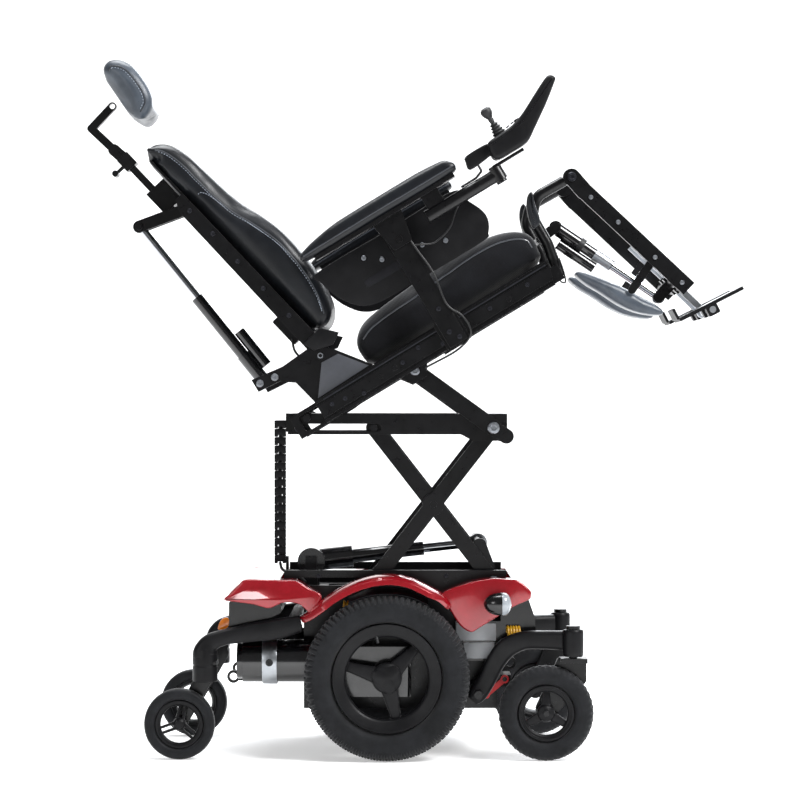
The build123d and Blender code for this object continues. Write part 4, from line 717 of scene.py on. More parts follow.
@dataclass
class Pad:
    """A padded piece: a closed, rounded form that is remeshed, blown up a little as cloth, and subdivided."""

    name: str
    node: str
    body: str
    where: Slant
    outline: list
    y_range: tuple[float, float]
    finish: Finish
    rounding: float = 26.0
    crown: float = 5.0
    shrink: float = 3.0
    cap_mm: float = 12.0
    voxel_mm: float = 6.0
    pressure: float = 4.0
    fill: float = 0.8
    steps: int = 20
    tension: float = 15.0
    bending: float = 2.0
    calm_passes: int = 14

    def build(self) -> bpy.types.Object:
        """Make the pad, let it ride and stand for its CAD solid.

        Returns:
            The pad.
        """
        low, high = self.y_range
        pad = slab(self.name, np.array(self.outline), self.where, (low + self.shrink, high - self.shrink),
                   crown=self.crown, rounding=self.rounding, samples=120)
        self.remesh(pad)
        self.blow_up(pad)
        finer = pad.modifiers.new("finer", "SUBSURF")
        finer.levels = finer.render_levels = 1
        bake_modifiers(pad)
        settle(pad, self.body, self.finish)
        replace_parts(pad, self.node)
        LOG.info("pad %s: %d faces", self.name, len(pad.data.polygons))
        return pad

    def remesh(self, pad: bpy.types.Object) -> None:
        """Even the pad's mesh out with voxels, then relax it."""
        even = pad.modifiers.new("even", "REMESH")
        even.mode = "VOXEL"
        even.voxel_size = self.voxel_mm * MM
        even.use_smooth_shade = True
        relax = pad.modifiers.new("relax", "SMOOTH")
        relax.factor = 0.5
        relax.iterations = 4
        bake_modifiers(pad)

    def blow_up(self, pad: bpy.types.Object) -> None:
        """Press air into the pad as cloth for a few steps, cap each point's way, and even out the skin.

        A point moves by its way times the smaller of one and the cap over the way's length.
        """
        scene = bpy.context.scene
        before = points_of(pad)
        cloth = pad.modifiers.new("air", "CLOTH")
        cloth.settings.use_pressure = True
        cloth.settings.uniform_pressure_force = self.pressure
        cloth.settings.effector_weights.gravity = 0.0
        cloth.settings.quality = 5
        cloth.settings.tension_stiffness = self.tension
        cloth.settings.bending_stiffness = self.bending
        cloth.point_cache.frame_start = 1
        cloth.point_cache.frame_end = self.steps
        for step in range(1, self.steps + 1):
            scene.frame_set(step)
        after = points_of(pad, evaluated=True)
        pad.modifiers.clear()
        scene.frame_set(1)
        way = after - before
        length = np.linalg.norm(way, axis=1, keepdims=True) + 1e-9
        capped = before + way * np.minimum(1.0, self.cap_mm * MM / length)
        low, high = (np.array(corner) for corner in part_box(self.node))
        room = 0.02 * (high - low) + 4 * MM
        capped = np.clip(capped, low - room, high + room)
        pad.data.vertices.foreach_set("co", capped.astype(np.float32).ravel())
        pad.data.update()
        calm = pad.modifiers.new("calm", "SMOOTH")
        calm.factor = 0.5
        calm.iterations = self.calm_passes
        bake_modifiers(pad)


@dataclass
class Upholstery:
    """Seat and back cushions, headrest, armpads and calf pads, with their seams, piping and stitching."""

    seat_outline: list = field(default_factory=lambda: [
        (150, 36), (136, 50), (134, 76), (150, 101), (190, 115), (270, 124), (362, 131), (450, 133), (510, 129),
        (556, 116), (586, 94), (590, 70), (584, 44), (574, 35), (360, 33)])
    back_outline: list = field(default_factory=lambda: [
        (60, -27), (40, -34), (34, -50), (52, -80), (101, -101), (157, -113), (221, -117), (266, -114),
        (315, -105), (357, -94), (404, -88), (459, -84), (511, -81), (555, -71), (578, -56), (588, -34), (578, -27),
        (320, -26)])
    head_outline: list = field(default_factory=lambda: [
        (786, -82), (793, -104), (776, -125), (744, -136), (690, -130), (658, -113), (645, -84), (654, -63),
        (700, -68), (750, -76)])
    calf_outline: list = field(default_factory=lambda: [
        (150, -138), (158, -149), (214, -137), (290, -122), (344, -87), (342, -73), (300, -83), (228, -104)])
    pad_outline: list = field(default_factory=lambda: [
        (146, 292), (133, 300), (134, 308), (160, 317), (200, 323), (240, 326), (480, 326), (508, 319), (521, 306),
        (516, 294), (500, 291.6), (330, 291.6)])
    half: float = 211.0

    def build(self) -> None:
        """Make every pad and what is sewn to it."""
        seat = Pad("seat_cushion_cover", "seat_cushion", "seat", SEAT, self.seat_outline, (-self.half, self.half),
                   SPACER_KNIT, rounding=22, crown=3, shrink=7, cap_mm=9).build()
        back = Pad("back_cushion_cover", "back_cushion", "back", BACK, self.back_outline, (-self.half, self.half),
                   COATED_FABRIC, rounding=24, crown=4, shrink=8, cap_mm=10).build()
        head = Pad("headrest_cover", "headrest_pad", "head_pad", BACK, self.head_outline, (-118, 118),
                   GREY_COATED_FABRIC, rounding=20, crown=4, shrink=5, cap_mm=6, voxel_mm=4).build()
        self.seams("seat_seam", seat, "seat", SEAT, self.seat_outline[3:12], self.half, 9.0, False)
        self.seams("back_seam", back, "back", BACK, self.back_outline[3:15], self.half, 10.0, True)
        self.seams("head_seam", head, "head_pad", BACK, self.head_outline[0:7], 118.0, 13.0, True)
        self.back_panel_seam(back)
        for side_name, side in SIDES.items():
            arm = Pad(f"armpad_{side_name}_cover", f"armpad_{side_name}", f"arm_{side_name}", SEAT, self.pad_outline,
                      tuple(sorted((side * 231, side * 299))), COATED_FABRIC, rounding=13, crown=2, shrink=3,
                      cap_mm=5, voxel_mm=4).build()
            loop = smooth_path(self.pad_outline, 200, closed=True)
            for face in (231.0, 299.0):
                keep = loop[loop[:, 1] < 306]
                keep = keep[np.argsort(keep[:, 0])]
                line = SEAT.point(np.linspace(140, 516, 90), np.full(90, 303.0), np.full(90, side * face))
                laid = laid_on(line, arm, 0.6 * MM)
                settle(tube(f"armpad_{side_name}_piping_{face:.0f}", laid, 1.5 * MM, 8), f"arm_{side_name}", PIPING)
        self.calves()

    def seams(self, name: str, pad: bpy.types.Object, body: str, where: Slant, run: list, half: float,
              inset: float, sewn: bool) -> None:
        """Piping along both side edges of a pad's face, and a row of stitches beside it.

        The run is drawn in towards its middle by the inset, then laid on the pad's surface.

        Args:
            name: start of the pieces' names.
            pad: the pad.
            body: the body it rides on.
            where: the outline's frame.
            run: the part of the outline that is piped.
            half: half the pad's width in mm.
            inset: distance from the outline in mm.
            sewn: add the stitches.
        """
        line = smooth_path(run, 160)
        nearby = np.gradient(line, axis=0)
        normal = np.stack([nearby[:, 1], -nearby[:, 0]], axis=-1)
        normal /= np.linalg.norm(normal, axis=1, keepdims=True)
        middle = np.asarray(run, float).mean(0)
        flip = np.sign(np.sum((middle - line) * normal, axis=1).mean())
        for side_name, side in SIDES.items():
            for part, extra, kind in (("piping", 0.0, "tube"), ("stitching", 5.0, "row")):
                if kind == "row" and not sewn:
                    continue
                drawn = line + normal * flip * (inset + extra)
                laid = laid_on(where.point(drawn[:, 0], drawn[:, 1], np.full(len(drawn), side * half)), pad, 0.4 * MM)
                made = tube(f"{name}_{part}_{side_name}", laid, 1.7 * MM, 8) if kind == "tube" else \
                    stitches(f"{name}_{part}_{side_name}", laid, 6.5 * MM, 4.2 * MM, 0.7 * MM)
                settle(made, body, PIPING if kind == "tube" else THREAD)

    def back_panel_seam(self, back: bpy.types.Object) -> None:
        """Curved seams across the back cushion's sides, from the upper corner down to the front edge."""
        run = [(428, -36), (436, -50), (420, -66), (380, -78), (320, -90), (250, -101), (180, -105), (110, -92),
               (66, -70)]
        line = smooth_path(run, 140)
        for side_name, side in SIDES.items():
            laid = laid_on(BACK.point(line[:, 0], line[:, 1], np.full(len(line), side * self.half)), back, 0.3 * MM)
            settle(stitches(f"back_panel_stitching_{side_name}", laid, 6.0 * MM, 4.4 * MM, 0.7 * MM), "back", THREAD)

    def calves(self) -> None:
        """Two calf pads, each standing for their CAD solids."""
        parts = []
        for side_name, side in SIDES.items():
            pad = Pad(f"calf_pad_{side_name}", "calf_pads", "legrest", LEG, self.calf_outline,
                      tuple(sorted((side * 89, side * 169))), GREY_COATED_FABRIC, rounding=6.5, crown=1.5, shrink=2,
                      cap_mm=3, voxel_mm=4)
            parts.append(pad.build())


# ------------------------------------------------------------------ CAD nodes
@dataclass
class Frames:
    """Finishes of the CAD nodes whose own shape shows."""

    powder: tuple = ("chassis_frame", "rear_caster_arms", "front_caster_arm_left", "front_caster_arm_right",
                     "front_fork_left", "front_fork_right", "rear_fork_left", "rear_fork_right", "lift_arm_a",
                     "lift_arm_b", "lift_base_frame", "upper_beam", "tilt_strut", "seat_frame", "back_frame",
                     "headrest_stem", "headrest_arm", "armrest_left", "armrest_right", "joystick_arm",
                     "leg_hangers", "leg_channels")
    nylon: tuple = ("side_guards", "joystick_housing", "joystick_lever", "joystick_button", "seat_pan",
                    "footplate_left", "footplate_right")
    others: tuple = (("base_housing", GLOSS_ABS), ("rear_cover", RED_LACQUER), ("front_cover", RED_LACQUER),
                     ("drive_motors", MOTOR_ENAMEL), ("lift_motor", MOTOR_ENAMEL), ("recline_motor", MOTOR_ENAMEL),
                     ("leg_motor", MOTOR_ENAMEL), ("lift_rod", CHROMED), ("recline_rod", CHROMED),
                     ("leg_rod", CHROMED), ("battery_pack", POLYPROPYLENE), ("control_module", ANODISED),
                     ("foot_bracket", ANODISED), ("joystick_boot", NITRILE), ("joystick_cable", PVC_SHEATH),
                     ("freewheel_lever_left", RED_NYLON), ("freewheel_lever_right", RED_NYLON),
                     ("front_lamps", GLOSS_ABS), ("cable_chain", MOULDED_NYLON))

    def build(self) -> None:
        """Dress them all, and anything left over as moulded nylon."""
        plan = {name: BLACK_POWDER_COAT for name in self.powder}
        plan.update({name: MOULDED_NYLON for name in self.nylon})
        plan.update(dict(self.others))
        for name, piece in frame["nodes"].items():
            dress(piece, plan.get(name, MOULDED_NYLON))
        LOG.info("CAD nodes dressed: %d", len(frame["nodes"]))


# ------------------------------------------------------------------ stage
@dataclass
class Studio:
    """White floor and backdrop, soft lights and the camera."""

    camera_place: tuple[float, float, float] = (-0.02415, -6.510, 0.7705)
    lens_mm: float = 131.8
    bend: float = 1.6
    far: float = 3.2
    near: float = -9.0
    top: float = 7.0
    half_width: float = 9.0
    glow: float = 0.42

    def build(self) -> None:
        """Make the stage."""
        self.floor()
        self.lights()
        self.camera()

    def floor(self) -> None:
        """A floor that curves up behind: flat to the bend, then a quarter circle, then upright."""
        t = np.linspace(0, np.pi / 2, 16)
        y = np.concatenate([[self.near, 0.0], self.far + self.bend * np.sin(t), [self.far + self.bend]])
        z = np.concatenate([[0.0, 0.0], self.bend - self.bend * np.cos(t), [self.top]])
        x = np.linspace(-self.half_width, self.half_width, 7)
        grid = np.stack(np.broadcast_arrays(x[None, :], y[:, None], z[:, None]), axis=-1)
        cove = surface("studio_floor", grid, (False, False))
        paper = bpy.data.materials.new("matt_white_paper")
        paper.use_nodes = True
        tree = paper.node_tree
        tree.nodes.clear()
        shader = add_node(tree, "ShaderNodeBsdfPrincipled",
                          {"Base Color": linear("EDEDED"), "Roughness": 0.9, "Specular IOR Level": 0.1,
                           "Emission Color": linear("FFFFFF"), "Emission Strength": self.glow})
        add_node(tree, "ShaderNodeOutputMaterial", {"Surface": shader.outputs["BSDF"]})
        cove.data.materials.append(paper)

    def lights(self) -> None:
        """A high soft box over the right, a fill by the camera, a rim from behind, and a white surround."""
        for name, place, aim, size, power, colour in (
                ("key_box", (2.6, -2.2, 3.6), (0.0, 0.0, 0.7), 1.6, 230.0, "FFFFFF"),
                ("top_box", (-0.4, 0.3, 4.2), (0.0, 0.0, 0.5), 2.2, 210.0, "FBFDFF"),
                ("fill_box", (-2.8, -4.0, 1.6), (0.0, 0.0, 0.6), 1.4, 30.0, "FFFFFF"),
                ("back_box", (1.2, 3.0, 2.6), (0.0, 0.0, 0.9), 2.6, 130.0, "F6FAFF")):
            data = bpy.data.lights.new(name, "AREA")
            data.size, data.energy, data.color = size, power, linear(colour)[:3]
            lamp = bpy.data.objects.new(name, data)
            way = np.array(place) - np.array(aim)
            lamp.location = place
            lamp.rotation_euler = (math.atan2(math.hypot(way[0], way[1]), way[2]), 0.0,
                                   math.atan2(way[0], -way[1]))
            bpy.context.scene.collection.objects.link(lamp)
        world = bpy.data.worlds.new("white_surround")
        world.use_nodes = True
        world.node_tree.nodes["Background"].inputs["Color"].default_value = linear("FFFFFF")
        world.node_tree.nodes["Background"].inputs["Strength"].default_value = 0.16
        bpy.context.scene.world = world

    def camera(self) -> None:
        """Level camera that looks along +Y from the right-hand side."""
        data = bpy.data.cameras.new("camera")
        data.lens, data.sensor_width = self.lens_mm, 36.0
        data.clip_end = 100.0
        camera = bpy.data.objects.new("camera", data)
        camera.location = self.camera_place
        camera.rotation_euler = (math.pi / 2, 0.0, 0.0)
        bpy.context.scene.collection.objects.link(camera)
        bpy.context.scene.camera = camera
        bpy.context.scene.view_settings.view_transform = "Standard"


# ------------------------------------------------------------------ wheels
@dataclass
class Wheel:
    """A tyre with moulded lugs on a rim with spokes and a hub cap; sizes in layout mm."""

    node: str
    body: str
    centre: tuple[float, float, float]
    side: float
    radius: float
    bead: float
    width: float
    rim_open: float
    hub: float
    bore: float
    lugs: int
    lug_depth: float
    spokes: tuple[float, ...]
    spoke_width: tuple[float, float]
    rubber: Finish
    rows: int = 3
    twin: float = 0.0
    squareness: float = 2.7
    dish: float = 0.0
    triangle: float = 0.0
    steps: int = 8

    def build(self) -> None:
        """Make the tyre and the rim, and let both stand for the CAD wheel."""
        tyre = settle(self.tyre(), self.body, self.rubber)
        rim = settle(self.rim(), self.body, MOULDED_NYLON)
        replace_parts(tyre, self.node)
        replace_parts(rim, self.node)

    def polar(self, radius: np.ndarray, turn: np.ndarray, out: np.ndarray) -> np.ndarray:
        """Places from a radius, a turn about the axle and a distance outward, in metres."""
        return Layout.point(self.centre[0] + radius * np.cos(turn), self.side * (self.centre[2] + out),
                            self.centre[1] + radius * np.sin(turn))

    def tyre(self) -> bpy.types.Object:
        """Superellipse section carried round the axle; grooves are cut between lugs where the section faces out.

        A groove is as deep as the lug depth times the larger of a cross cut, whose phase moves by half a pitch
        from row to row, and a ring cut between rows, times how far the point lies towards the crown.

        Returns:
            The tyre.
        """
        steps = self.lugs * self.steps
        turn = np.linspace(0, 2 * np.pi, steps, endpoint=False)[:, None]
        s = np.linspace(0, 2 * np.pi, 64, endpoint=False)[None, :]
        half_tall = (self.radius - self.bead) / 2
        power = 2 / self.squareness
        rise = np.sign(np.sin(s)) * np.abs(np.sin(s)) ** power
        out = self.width / 2 * np.sign(np.cos(s)) * np.abs(np.cos(s)) ** power
        row = np.round(out / self.width * 2 * self.rows / 1.9)
        slope = 0.35 * np.abs(out) / self.width * 2
        wave = np.cos(self.lugs * turn + np.pi * row + slope * np.pi)
        cross = np.clip((0.25 - wave) * 3.0, 0, 1)
        edge = np.abs(out / self.width * 2 * self.rows / 1.9 - row)
        between = np.clip((edge - 0.40) * 12.0, 0, 1) * (np.abs(out) < self.width * 0.44)
        crown = np.clip((rise - 0.45) / 0.25, 0, 1)
        flank = np.clip(1 - np.abs(rise - 0.42) / 0.28, 0, 1) * 0.8
        drop = self.lug_depth * (crown * np.maximum(cross, between) + flank * cross)
        radius = self.bead + half_tall + rise * half_tall - drop
        ridge = 0.5 * np.exp(-((rise + 0.25) / 0.05) ** 2)
        return surface(f"{self.node}_tyre", self.polar(radius, turn, out + np.sign(out) * ridge), (True, True))

    def rim(self) -> bpy.types.Object:
        """Rim ring, hub barrel, spokes and hub cap.

        Returns:
            One object.
        """
        half = self.width / 2
        edge = half * 0.72
        profile = [(self.bead - 0.5, -edge), (self.bead + 1.0, -edge * 0.6), (self.bead + 1.0, edge * 0.6),
                   (self.bead - 0.5, edge), (self.bead - 3.0, edge + 1.0), (self.bead - 7.0, edge),
                   (self.rim_open + 9.0, edge * 0.82), (self.rim_open + 3.0, edge * 0.70),
                   (self.rim_open, edge * 0.45), (self.rim_open + 1.0, 0.0), (self.rim_open + 4.0, -edge * 0.5),
                   (self.rim_open + 8.0, -edge * 0.9)]
        parts = [lathe(f"{self.node}_rim", smooth_path(profile, 48, closed=True), self.centre, self.side, 96)]
        barrel = [(self.bore, -edge * 0.8), (self.hub * 0.8, -edge * 0.8), (self.hub, -edge * 0.6),
                  (self.hub, self.dish + 3.0), (self.hub * 0.86, self.dish + 7.5), (self.hub * 0.5, self.dish + 9.5),
                  (self.bore, self.dish + 9.5)]
        parts.append(lathe(f"{self.node}_hub", barrel, self.centre, self.side, 48))
        for angle in self.spokes:
            for shift in ((-self.twin, self.twin) if self.twin else (0.0,)):
                parts.append(self.spoke(math.radians(angle), shift))
        parts.append(self.cap())
        return joined(f"{self.node}_rim", parts)

    def spoke(self, angle: float, shift: float) -> bpy.types.Object:
        """One spoke: a rounded section that narrows outward and sinks from the hub to the rim.

        Args:
            angle: its direction in radians.
            shift: sideways distance of one of a pair, in mm.
        Returns:
            The spoke.
        """
        share = np.linspace(0, 1, 18)
        reach = self.hub * 0.55 + share * (self.rim_open + 7.0 - self.hub * 0.55)
        sag = self.dish * (1 - share) + 2.0
        wide = self.spoke_width[0] + (self.spoke_width[1] - self.spoke_width[0]) * share**0.8
        wide = wide + self.spoke_width[1] * 0.5 * np.clip((share - 0.86) / 0.14, 0, 1) ** 2
        outline = ring(0.5, 0.5, 20, 3.6)
        sideways = shift + outline[None, :, 0] * wide[:, None]
        depth = sag[:, None] + outline[None, :, 1] * 12.0 - 3.0
        x = reach[:, None] * math.cos(angle) - sideways * math.sin(angle)
        z = reach[:, None] * math.sin(angle) + sideways * math.cos(angle)
        grid = Layout.point(self.centre[0] + x, self.side * (self.centre[2] + depth), self.centre[1] + z)
        return surface(f"{self.node}_spoke", grid, (False, True), caps=True)

    def cap(self) -> bpy.types.Object:
        """Hub cap: rings of a circle pulled out three ways by the triangle share, domed to its middle."""
        t = np.linspace(0, 2 * np.pi, 72, endpoint=False)[None, :]
        share = np.linspace(1, 0.04, 9)[:, None]
        first = math.radians(self.spokes[0])
        size = self.hub * 0.8 * (1 + self.triangle * np.cos(3 * (t - first))) * share
        dome = self.dish + 8.0 + 4.5 * (1 - share**2.4)
        grid = self.polar(size, t, dome + 0 * t)
        lip = self.polar(size[:1] * 1.02, t, self.dish + 4.0 + 0 * t)
        return surface(f"{self.node}_cap", np.concatenate([lip, grid]), (False, True), caps=True)


@dataclass
class RunningGear:
    """All six wheels, with their axle caps and the drive wheels' valve stems."""

    def build(self) -> None:
        """Make the wheels of both sides."""
        for name, side in SIDES.items():
            Wheel(f"drive_wheel_{name}", f"drive_wheel_{name}", (Layout.wheel_x, Layout.wheel_radius, 260.0),
                  side, Layout.wheel_radius, 117.0, 74.0,
                  88.0, 32.0, 10.4, 84, 4.6, (46.0, 164.0, 283.0), (40.0, 19.0), TYRE_RUBBER, dish=13.0,
                  triangle=0.30).build()
            self.valve(name, side)
            Wheel(f"front_caster_wheel_{name}", f"front_caster_{name}", (272.0, 102.0, 251.0), side, 102.0, 60.0,
                  44.0, 46.0, 19.0, 6.6, 44, 1.6, (90.0, 210.0, 330.0), (24.0, 15.0), TYRE_RUBBER, dish=6.0,
                  triangle=0.10, squareness=2.4).build()
            Wheel(f"rear_caster_wheel_{name}", f"rear_caster_{name}", (-513.0, 76.0, 225.0), side, 76.0, 52.0,
                  38.0, 40.0, 14.0, 6.6, 12, 0.0, (80.0, 200.0, 320.0), (7.0, 5.5), CASTER_URETHANE, twin=6.0,
                  dish=5.0, squareness=3.2, steps=10).build()

    def valve(self, name: str, side: float) -> None:
        """Valve stem with its cap, standing in from the rim between two spokes."""
        turn = math.radians(104.0)
        reach = np.array([94.0, 90.0, 84.0, 78.0])
        path = Layout.point(Layout.wheel_x + reach * math.cos(turn),
                            np.full(4, side * 276.0) + side * np.array([0, 2, 4, 6.0]),
                            Layout.wheel_radius + reach * math.sin(turn))
        settle(tube(f"valve_{name}", smooth_path(list(path), 12), 3.2 * MM, 10), f"drive_wheel_{name}", NITRILE)


# ------------------------------------------------------------------ covers and base details
@dataclass
class BaseTrim:
    """Wheel arches, lamps, plates, springs, straps and reflectors on the drive base."""

    arch: tuple = ((-252, 300), (-231, 314), (-189, 348), (-146, 372), (-112, 384), (-80, 390), (-50, 390),
                   (-19, 384), (4, 374), (24, 364), (49, 350), (70, 326))
    cover_y: float = 245.0

    def build(self) -> None:
        """Make them on both sides."""
        for name, side in SIDES.items():
            self.wheel_arch(name, side)
            self.lamp(name, side)
            self.plates(name, side)
            self.motor_strap(name, side)
            for label, x, z, rise, y in (("wheel", -161.0, 318.0, 36.0, 200.0), ("front", 191.0, 262.0, 30.0, 186.0)):
                self.spring(f"{label}_spring_{name}", side * y, x, z, rise)
            reflector = slab(f"reflector_{name}", [(-432, 276), (-412, 280), (-408, 296), (-414, 302), (-426, 296)],
                             LEVEL, (side * 190, side * 199), rounding=1.5, samples=30)
            settle(reflector, "base", ORANGE_ACRYLIC)

    def wheel_arch(self, name: str, side: float) -> None:
        """Painted arch over the wheel: a curved band carried along the arch, its outer lip turned down.

        The band's section runs from the inner edge over a soft crown to the lip, and back underneath.
        """
        path = smooth_path(list(self.arch), 90)
        share = np.linspace(0, 1, 90)
        grow = np.clip(np.minimum(share, 1 - share) / 0.16, 0, 1) ** 0.5
        inner, outer = 182.0, 284.0
        across = np.array([0.0, 0.2, 0.5, 0.78, 0.92, 0.98, 1.0, 0.985, 0.95, 0.9, 0.75, 0.5, 0.2, 0.0])
        rise = np.array([3.0, 6.0, 7.5, 5.5, 2.0, -3.0, -13.0, -14.0, -12.0, -2.0, 2.2, 4.0, 2.6, 0.0])
        nearby = np.gradient(path, axis=0)
        nearby /= np.linalg.norm(nearby, axis=1, keepdims=True)
        normal = np.stack([-nearby[:, 1], nearby[:, 0]], axis=-1)
        reach = self.cover_y + (outer - self.cover_y) * grow
        y = inner + (reach[:, None] - inner) * across[None, :]
        lift = rise[None, :] * np.where(rise < 0, 0.5 + 0.5 * grow[:, None], 1.0)
        grid = Layout.point(path[:, :1] + normal[:, :1] * lift, side * y, path[:, 1:] + normal[:, 1:] * lift)
        settle(surface(f"wheel_arch_{name}", grid, (False, True), caps=True), "base", RED_LACQUER)
        liner = smooth_path([(-150, 338), (-112, 352), (-68, 357), (-20, 351), (20, 334)], 50)
        y_line = np.linspace(176.0, 268.0, 8)
        top = Layout.point(liner[:, :1] + 0 * y_line, side * y_line[None, :] + 0 * liner[:, :1],
                           liner[:, 1:] + 8.0 * np.cos((y_line[None, :] - 176.0) / 60.0))
        low = top - np.array([0.0, 0.0, 2.5 * MM])
        shell = np.concatenate([top, low[:, ::-1]], axis=1)
        settle(surface(f"arch_liner_{name}", shell, (False, True), caps=True), "base", COVER_INSIDE)

    def lamp(self, name: str, side: float) -> None:
        """Bullet lamp: a turned shell with a bezel, and a domed lens in front of it."""
        turn = np.linspace(0, 2 * np.pi, 56, endpoint=False)[None, :]
        for part, profile, finish in (
                ("shell", [(138, 0.5), (139, 6), (143, 13), (150, 19), (160, 23), (171, 25), (177, 25), (178, 23.5),
                           (176, 22)], GLOSS_ABS),
                ("lens", [(174, 0.5), (174, 24), (180, 24.6), (186, 24), (191, 20), (195, 13), (197.5, 5),
                          (198, 0.5)], LENS)):
            x, radius = np.array(profile, float).T
            grid = Layout.point(x[:, None] + 0 * turn, side * (272.0 + radius[:, None] * np.cos(turn)),
                                336.0 + radius[:, None] * np.sin(turn))
            piece = settle(surface(f"lamp_{part}_{name}", grid, (False, True), caps=True), "base", finish)
            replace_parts(piece, "front_lamps")
        path = Layout.point(np.full(3, 156.0), side * np.array([244.0, 250.0, 256.0]), np.full(3, 336.0))
        settle(tube(f"lamp_stalk_{name}", path, 6 * MM, 14, (0.0, 0.0, 1.0)), "base", GLOSS_ABS)

    def plates(self, name: str, side: float) -> None:
        """Two blank rating plates on the skirt."""
        for label, outline in (("upper", [(82, 250), (168, 250), (168, 287), (82, 287)]),
                               ("lower", [(98, 211), (164, 211), (164, 246), (98, 246)])):
            plate = slab(f"rating_plate_{label}_{name}", outline, LEVEL, (side * 170.1, side * 171.3), rounding=0.5)
            settle(plate, "base", PLATE_FILM)

    def motor_strap(self, name: str, side: float) -> None:
        """Bright clamp band round the drive motor, with its screw."""
        turn = np.linspace(0, 2 * np.pi, 72, endpoint=False)[None, :]
        profile = np.array([(-337, 48.1), (-337, 49.6), (-335, 50.4), (-307, 50.4), (-305, 49.6), (-305, 48.1)])
        grid = Layout.point(profile[:, :1] + 0 * turn, side * (166.0 + profile[:, 1:] * np.cos(turn)),
                            206.0 + profile[:, 1:] * np.sin(turn))
        settle(surface(f"motor_strap_{name}", grid, (True, True)), "base", ANODISED)
        Screws.row(f"motor_strap_screw_{name}", [(-321.0, 206.0)], side * 216.3, side, 8.0, "base", LEVEL, NITRILE)

    def spring(self, name: str, y: float, x: float, z: float, rise: float) -> None:
        """Coil spring: a helix of five turns."""
        turn = np.linspace(0, 10 * np.pi, 160)
        path = Layout.point(x + turn / (10 * np.pi) * rise, y + 13.0 * np.cos(turn), z + 13.0 * np.sin(turn) + 6.0)
        settle(tube(name, path, 2.6 * MM, 8, (1.0, 0.0, 0.0)), "base", YELLOW_COAT)


class Screws:
    """Socket-head screws: a low turned head with a hexagon socket."""

    @staticmethod
    def row(name: str, places: list, y: float, side: float, radius: float, body: str, where: Slant,
            finish: Finish) -> bpy.types.Object:
        """Heads at several places of a side frame, as one piece.

        Each head is a profile of rising and then sinking rings; the inner rings are hexagons.

        Args:
            name: the piece's name.
            places: frame coordinates in mm.
            y: the face they sit on, in layout mm.
            side: which way they face.
            radius: head radius in mm.
            body: the body they ride on.
            where: the frame of the places.
            finish: their finish.
        Returns:
            The piece.
        """
        t = np.linspace(0, 2 * np.pi, 24, endpoint=False)
        hexagon = np.cos(np.pi / 6) / np.cos((t % (np.pi / 3)) - np.pi / 6)
        rings = [(1.0, -0.4, 0), (1.0, 0.34, 0), (0.9, 0.46, 0), (0.58, 0.5, 1), (0.5, 0.44, 1), (0.48, 0.12, 1)]
        size = np.array([k * (hexagon if six else np.ones_like(t)) for k, _, six in rings]) * radius
        out = np.array([h for _, h, _ in rings]) * radius
        spots = np.asarray(places, float)
        u = spots[:, 0, None, None] + size * np.cos(t)
        v = spots[:, 1, None, None] + size * np.sin(t)
        depth = np.broadcast_to(y + side * out[None, :, None], u.shape)
        centre = where.point(spots[:, 0], spots[:, 1], np.full(len(spots), y + side * out[-1]))
        back = where.point(spots[:, 0], spots[:, 1], np.full(len(spots), y + side * out[0]))
        grid = where.point(u, v, depth).reshape(len(spots), -1, 3)
        block = np.concatenate([grid, centre[:, None], back[:, None]], axis=1)
        rows, columns = len(rings), len(t)
        j = np.arange(columns)
        last = (rows - 1) * columns
        quads = grid_faces(rows, columns, False, True).tolist()
        fans = np.stack([np.full(columns, rows * columns), last + j, last + (j + 1) % columns], axis=-1).tolist()
        under = np.stack([np.full(columns, rows * columns + 1), (j + 1) % columns, j], axis=-1).tolist()
        one = quads + fans + under
        count = rows * columns + 2
        faces = np.empty(len(one) * len(spots), dtype=object)
        faces[:] = [tuple(number + k * count for number in face) for k in range(len(spots)) for face in one]
        return settle(mesh_object(name, block.reshape(-1, 3), faces), body, finish)


# ------------------------------------------------------------------ moulded and cast pieces
def beam(name: str, points: list, y: list, half_wide: list, half_tall: list, square: float = 3.4,
         count: int = 60) -> bpy.types.Object:
    """Cast beam: a superellipse section whose half sizes follow the path.

    Args:
        name: the piece's name.
        points: side-view path in layout mm.
        y: leftward place at each path point, in mm.
        half_wide: half the width across Y at each point, in mm.
        half_tall: half the height square to the path at each point, in mm.
        square: the section's power.
        count: sections.
    Returns:
        The beam.
    """
    knots = np.column_stack([np.asarray(points, float), y, half_wide, half_tall])
    line = smooth_path(list(knots), count)
    path = Layout.point(line[:, 0], line[:, 2], line[:, 1])
    outline = ring(1.0, 1.0, 28, square)
    profile = np.stack([outline[None, :, 0] * line[:, 3:4], outline[None, :, 1] * line[:, 4:5]], axis=-1) * MM
    grid = carried(path, profile[..., ::-1], np.array([0.0, 1.0, 0.0]))
    return surface(name, grid, (False, True), caps=True)


def post(name: str, centre: tuple, profile: list, count: int = 40) -> bpy.types.Object:
    """Turn a profile of (radius, height) points in mm about an upright axis at a layout x and y."""
    turn = np.linspace(0, 2 * np.pi, count, endpoint=False)[None, :]
    radius, height = np.array(profile, float).T
    grid = Layout.point(centre[0] + radius[:, None] * np.cos(turn), centre[1] + radius[:, None] * np.sin(turn),
                        height[:, None] + 0 * turn)
    return surface(name, grid, (False, True), caps=True)


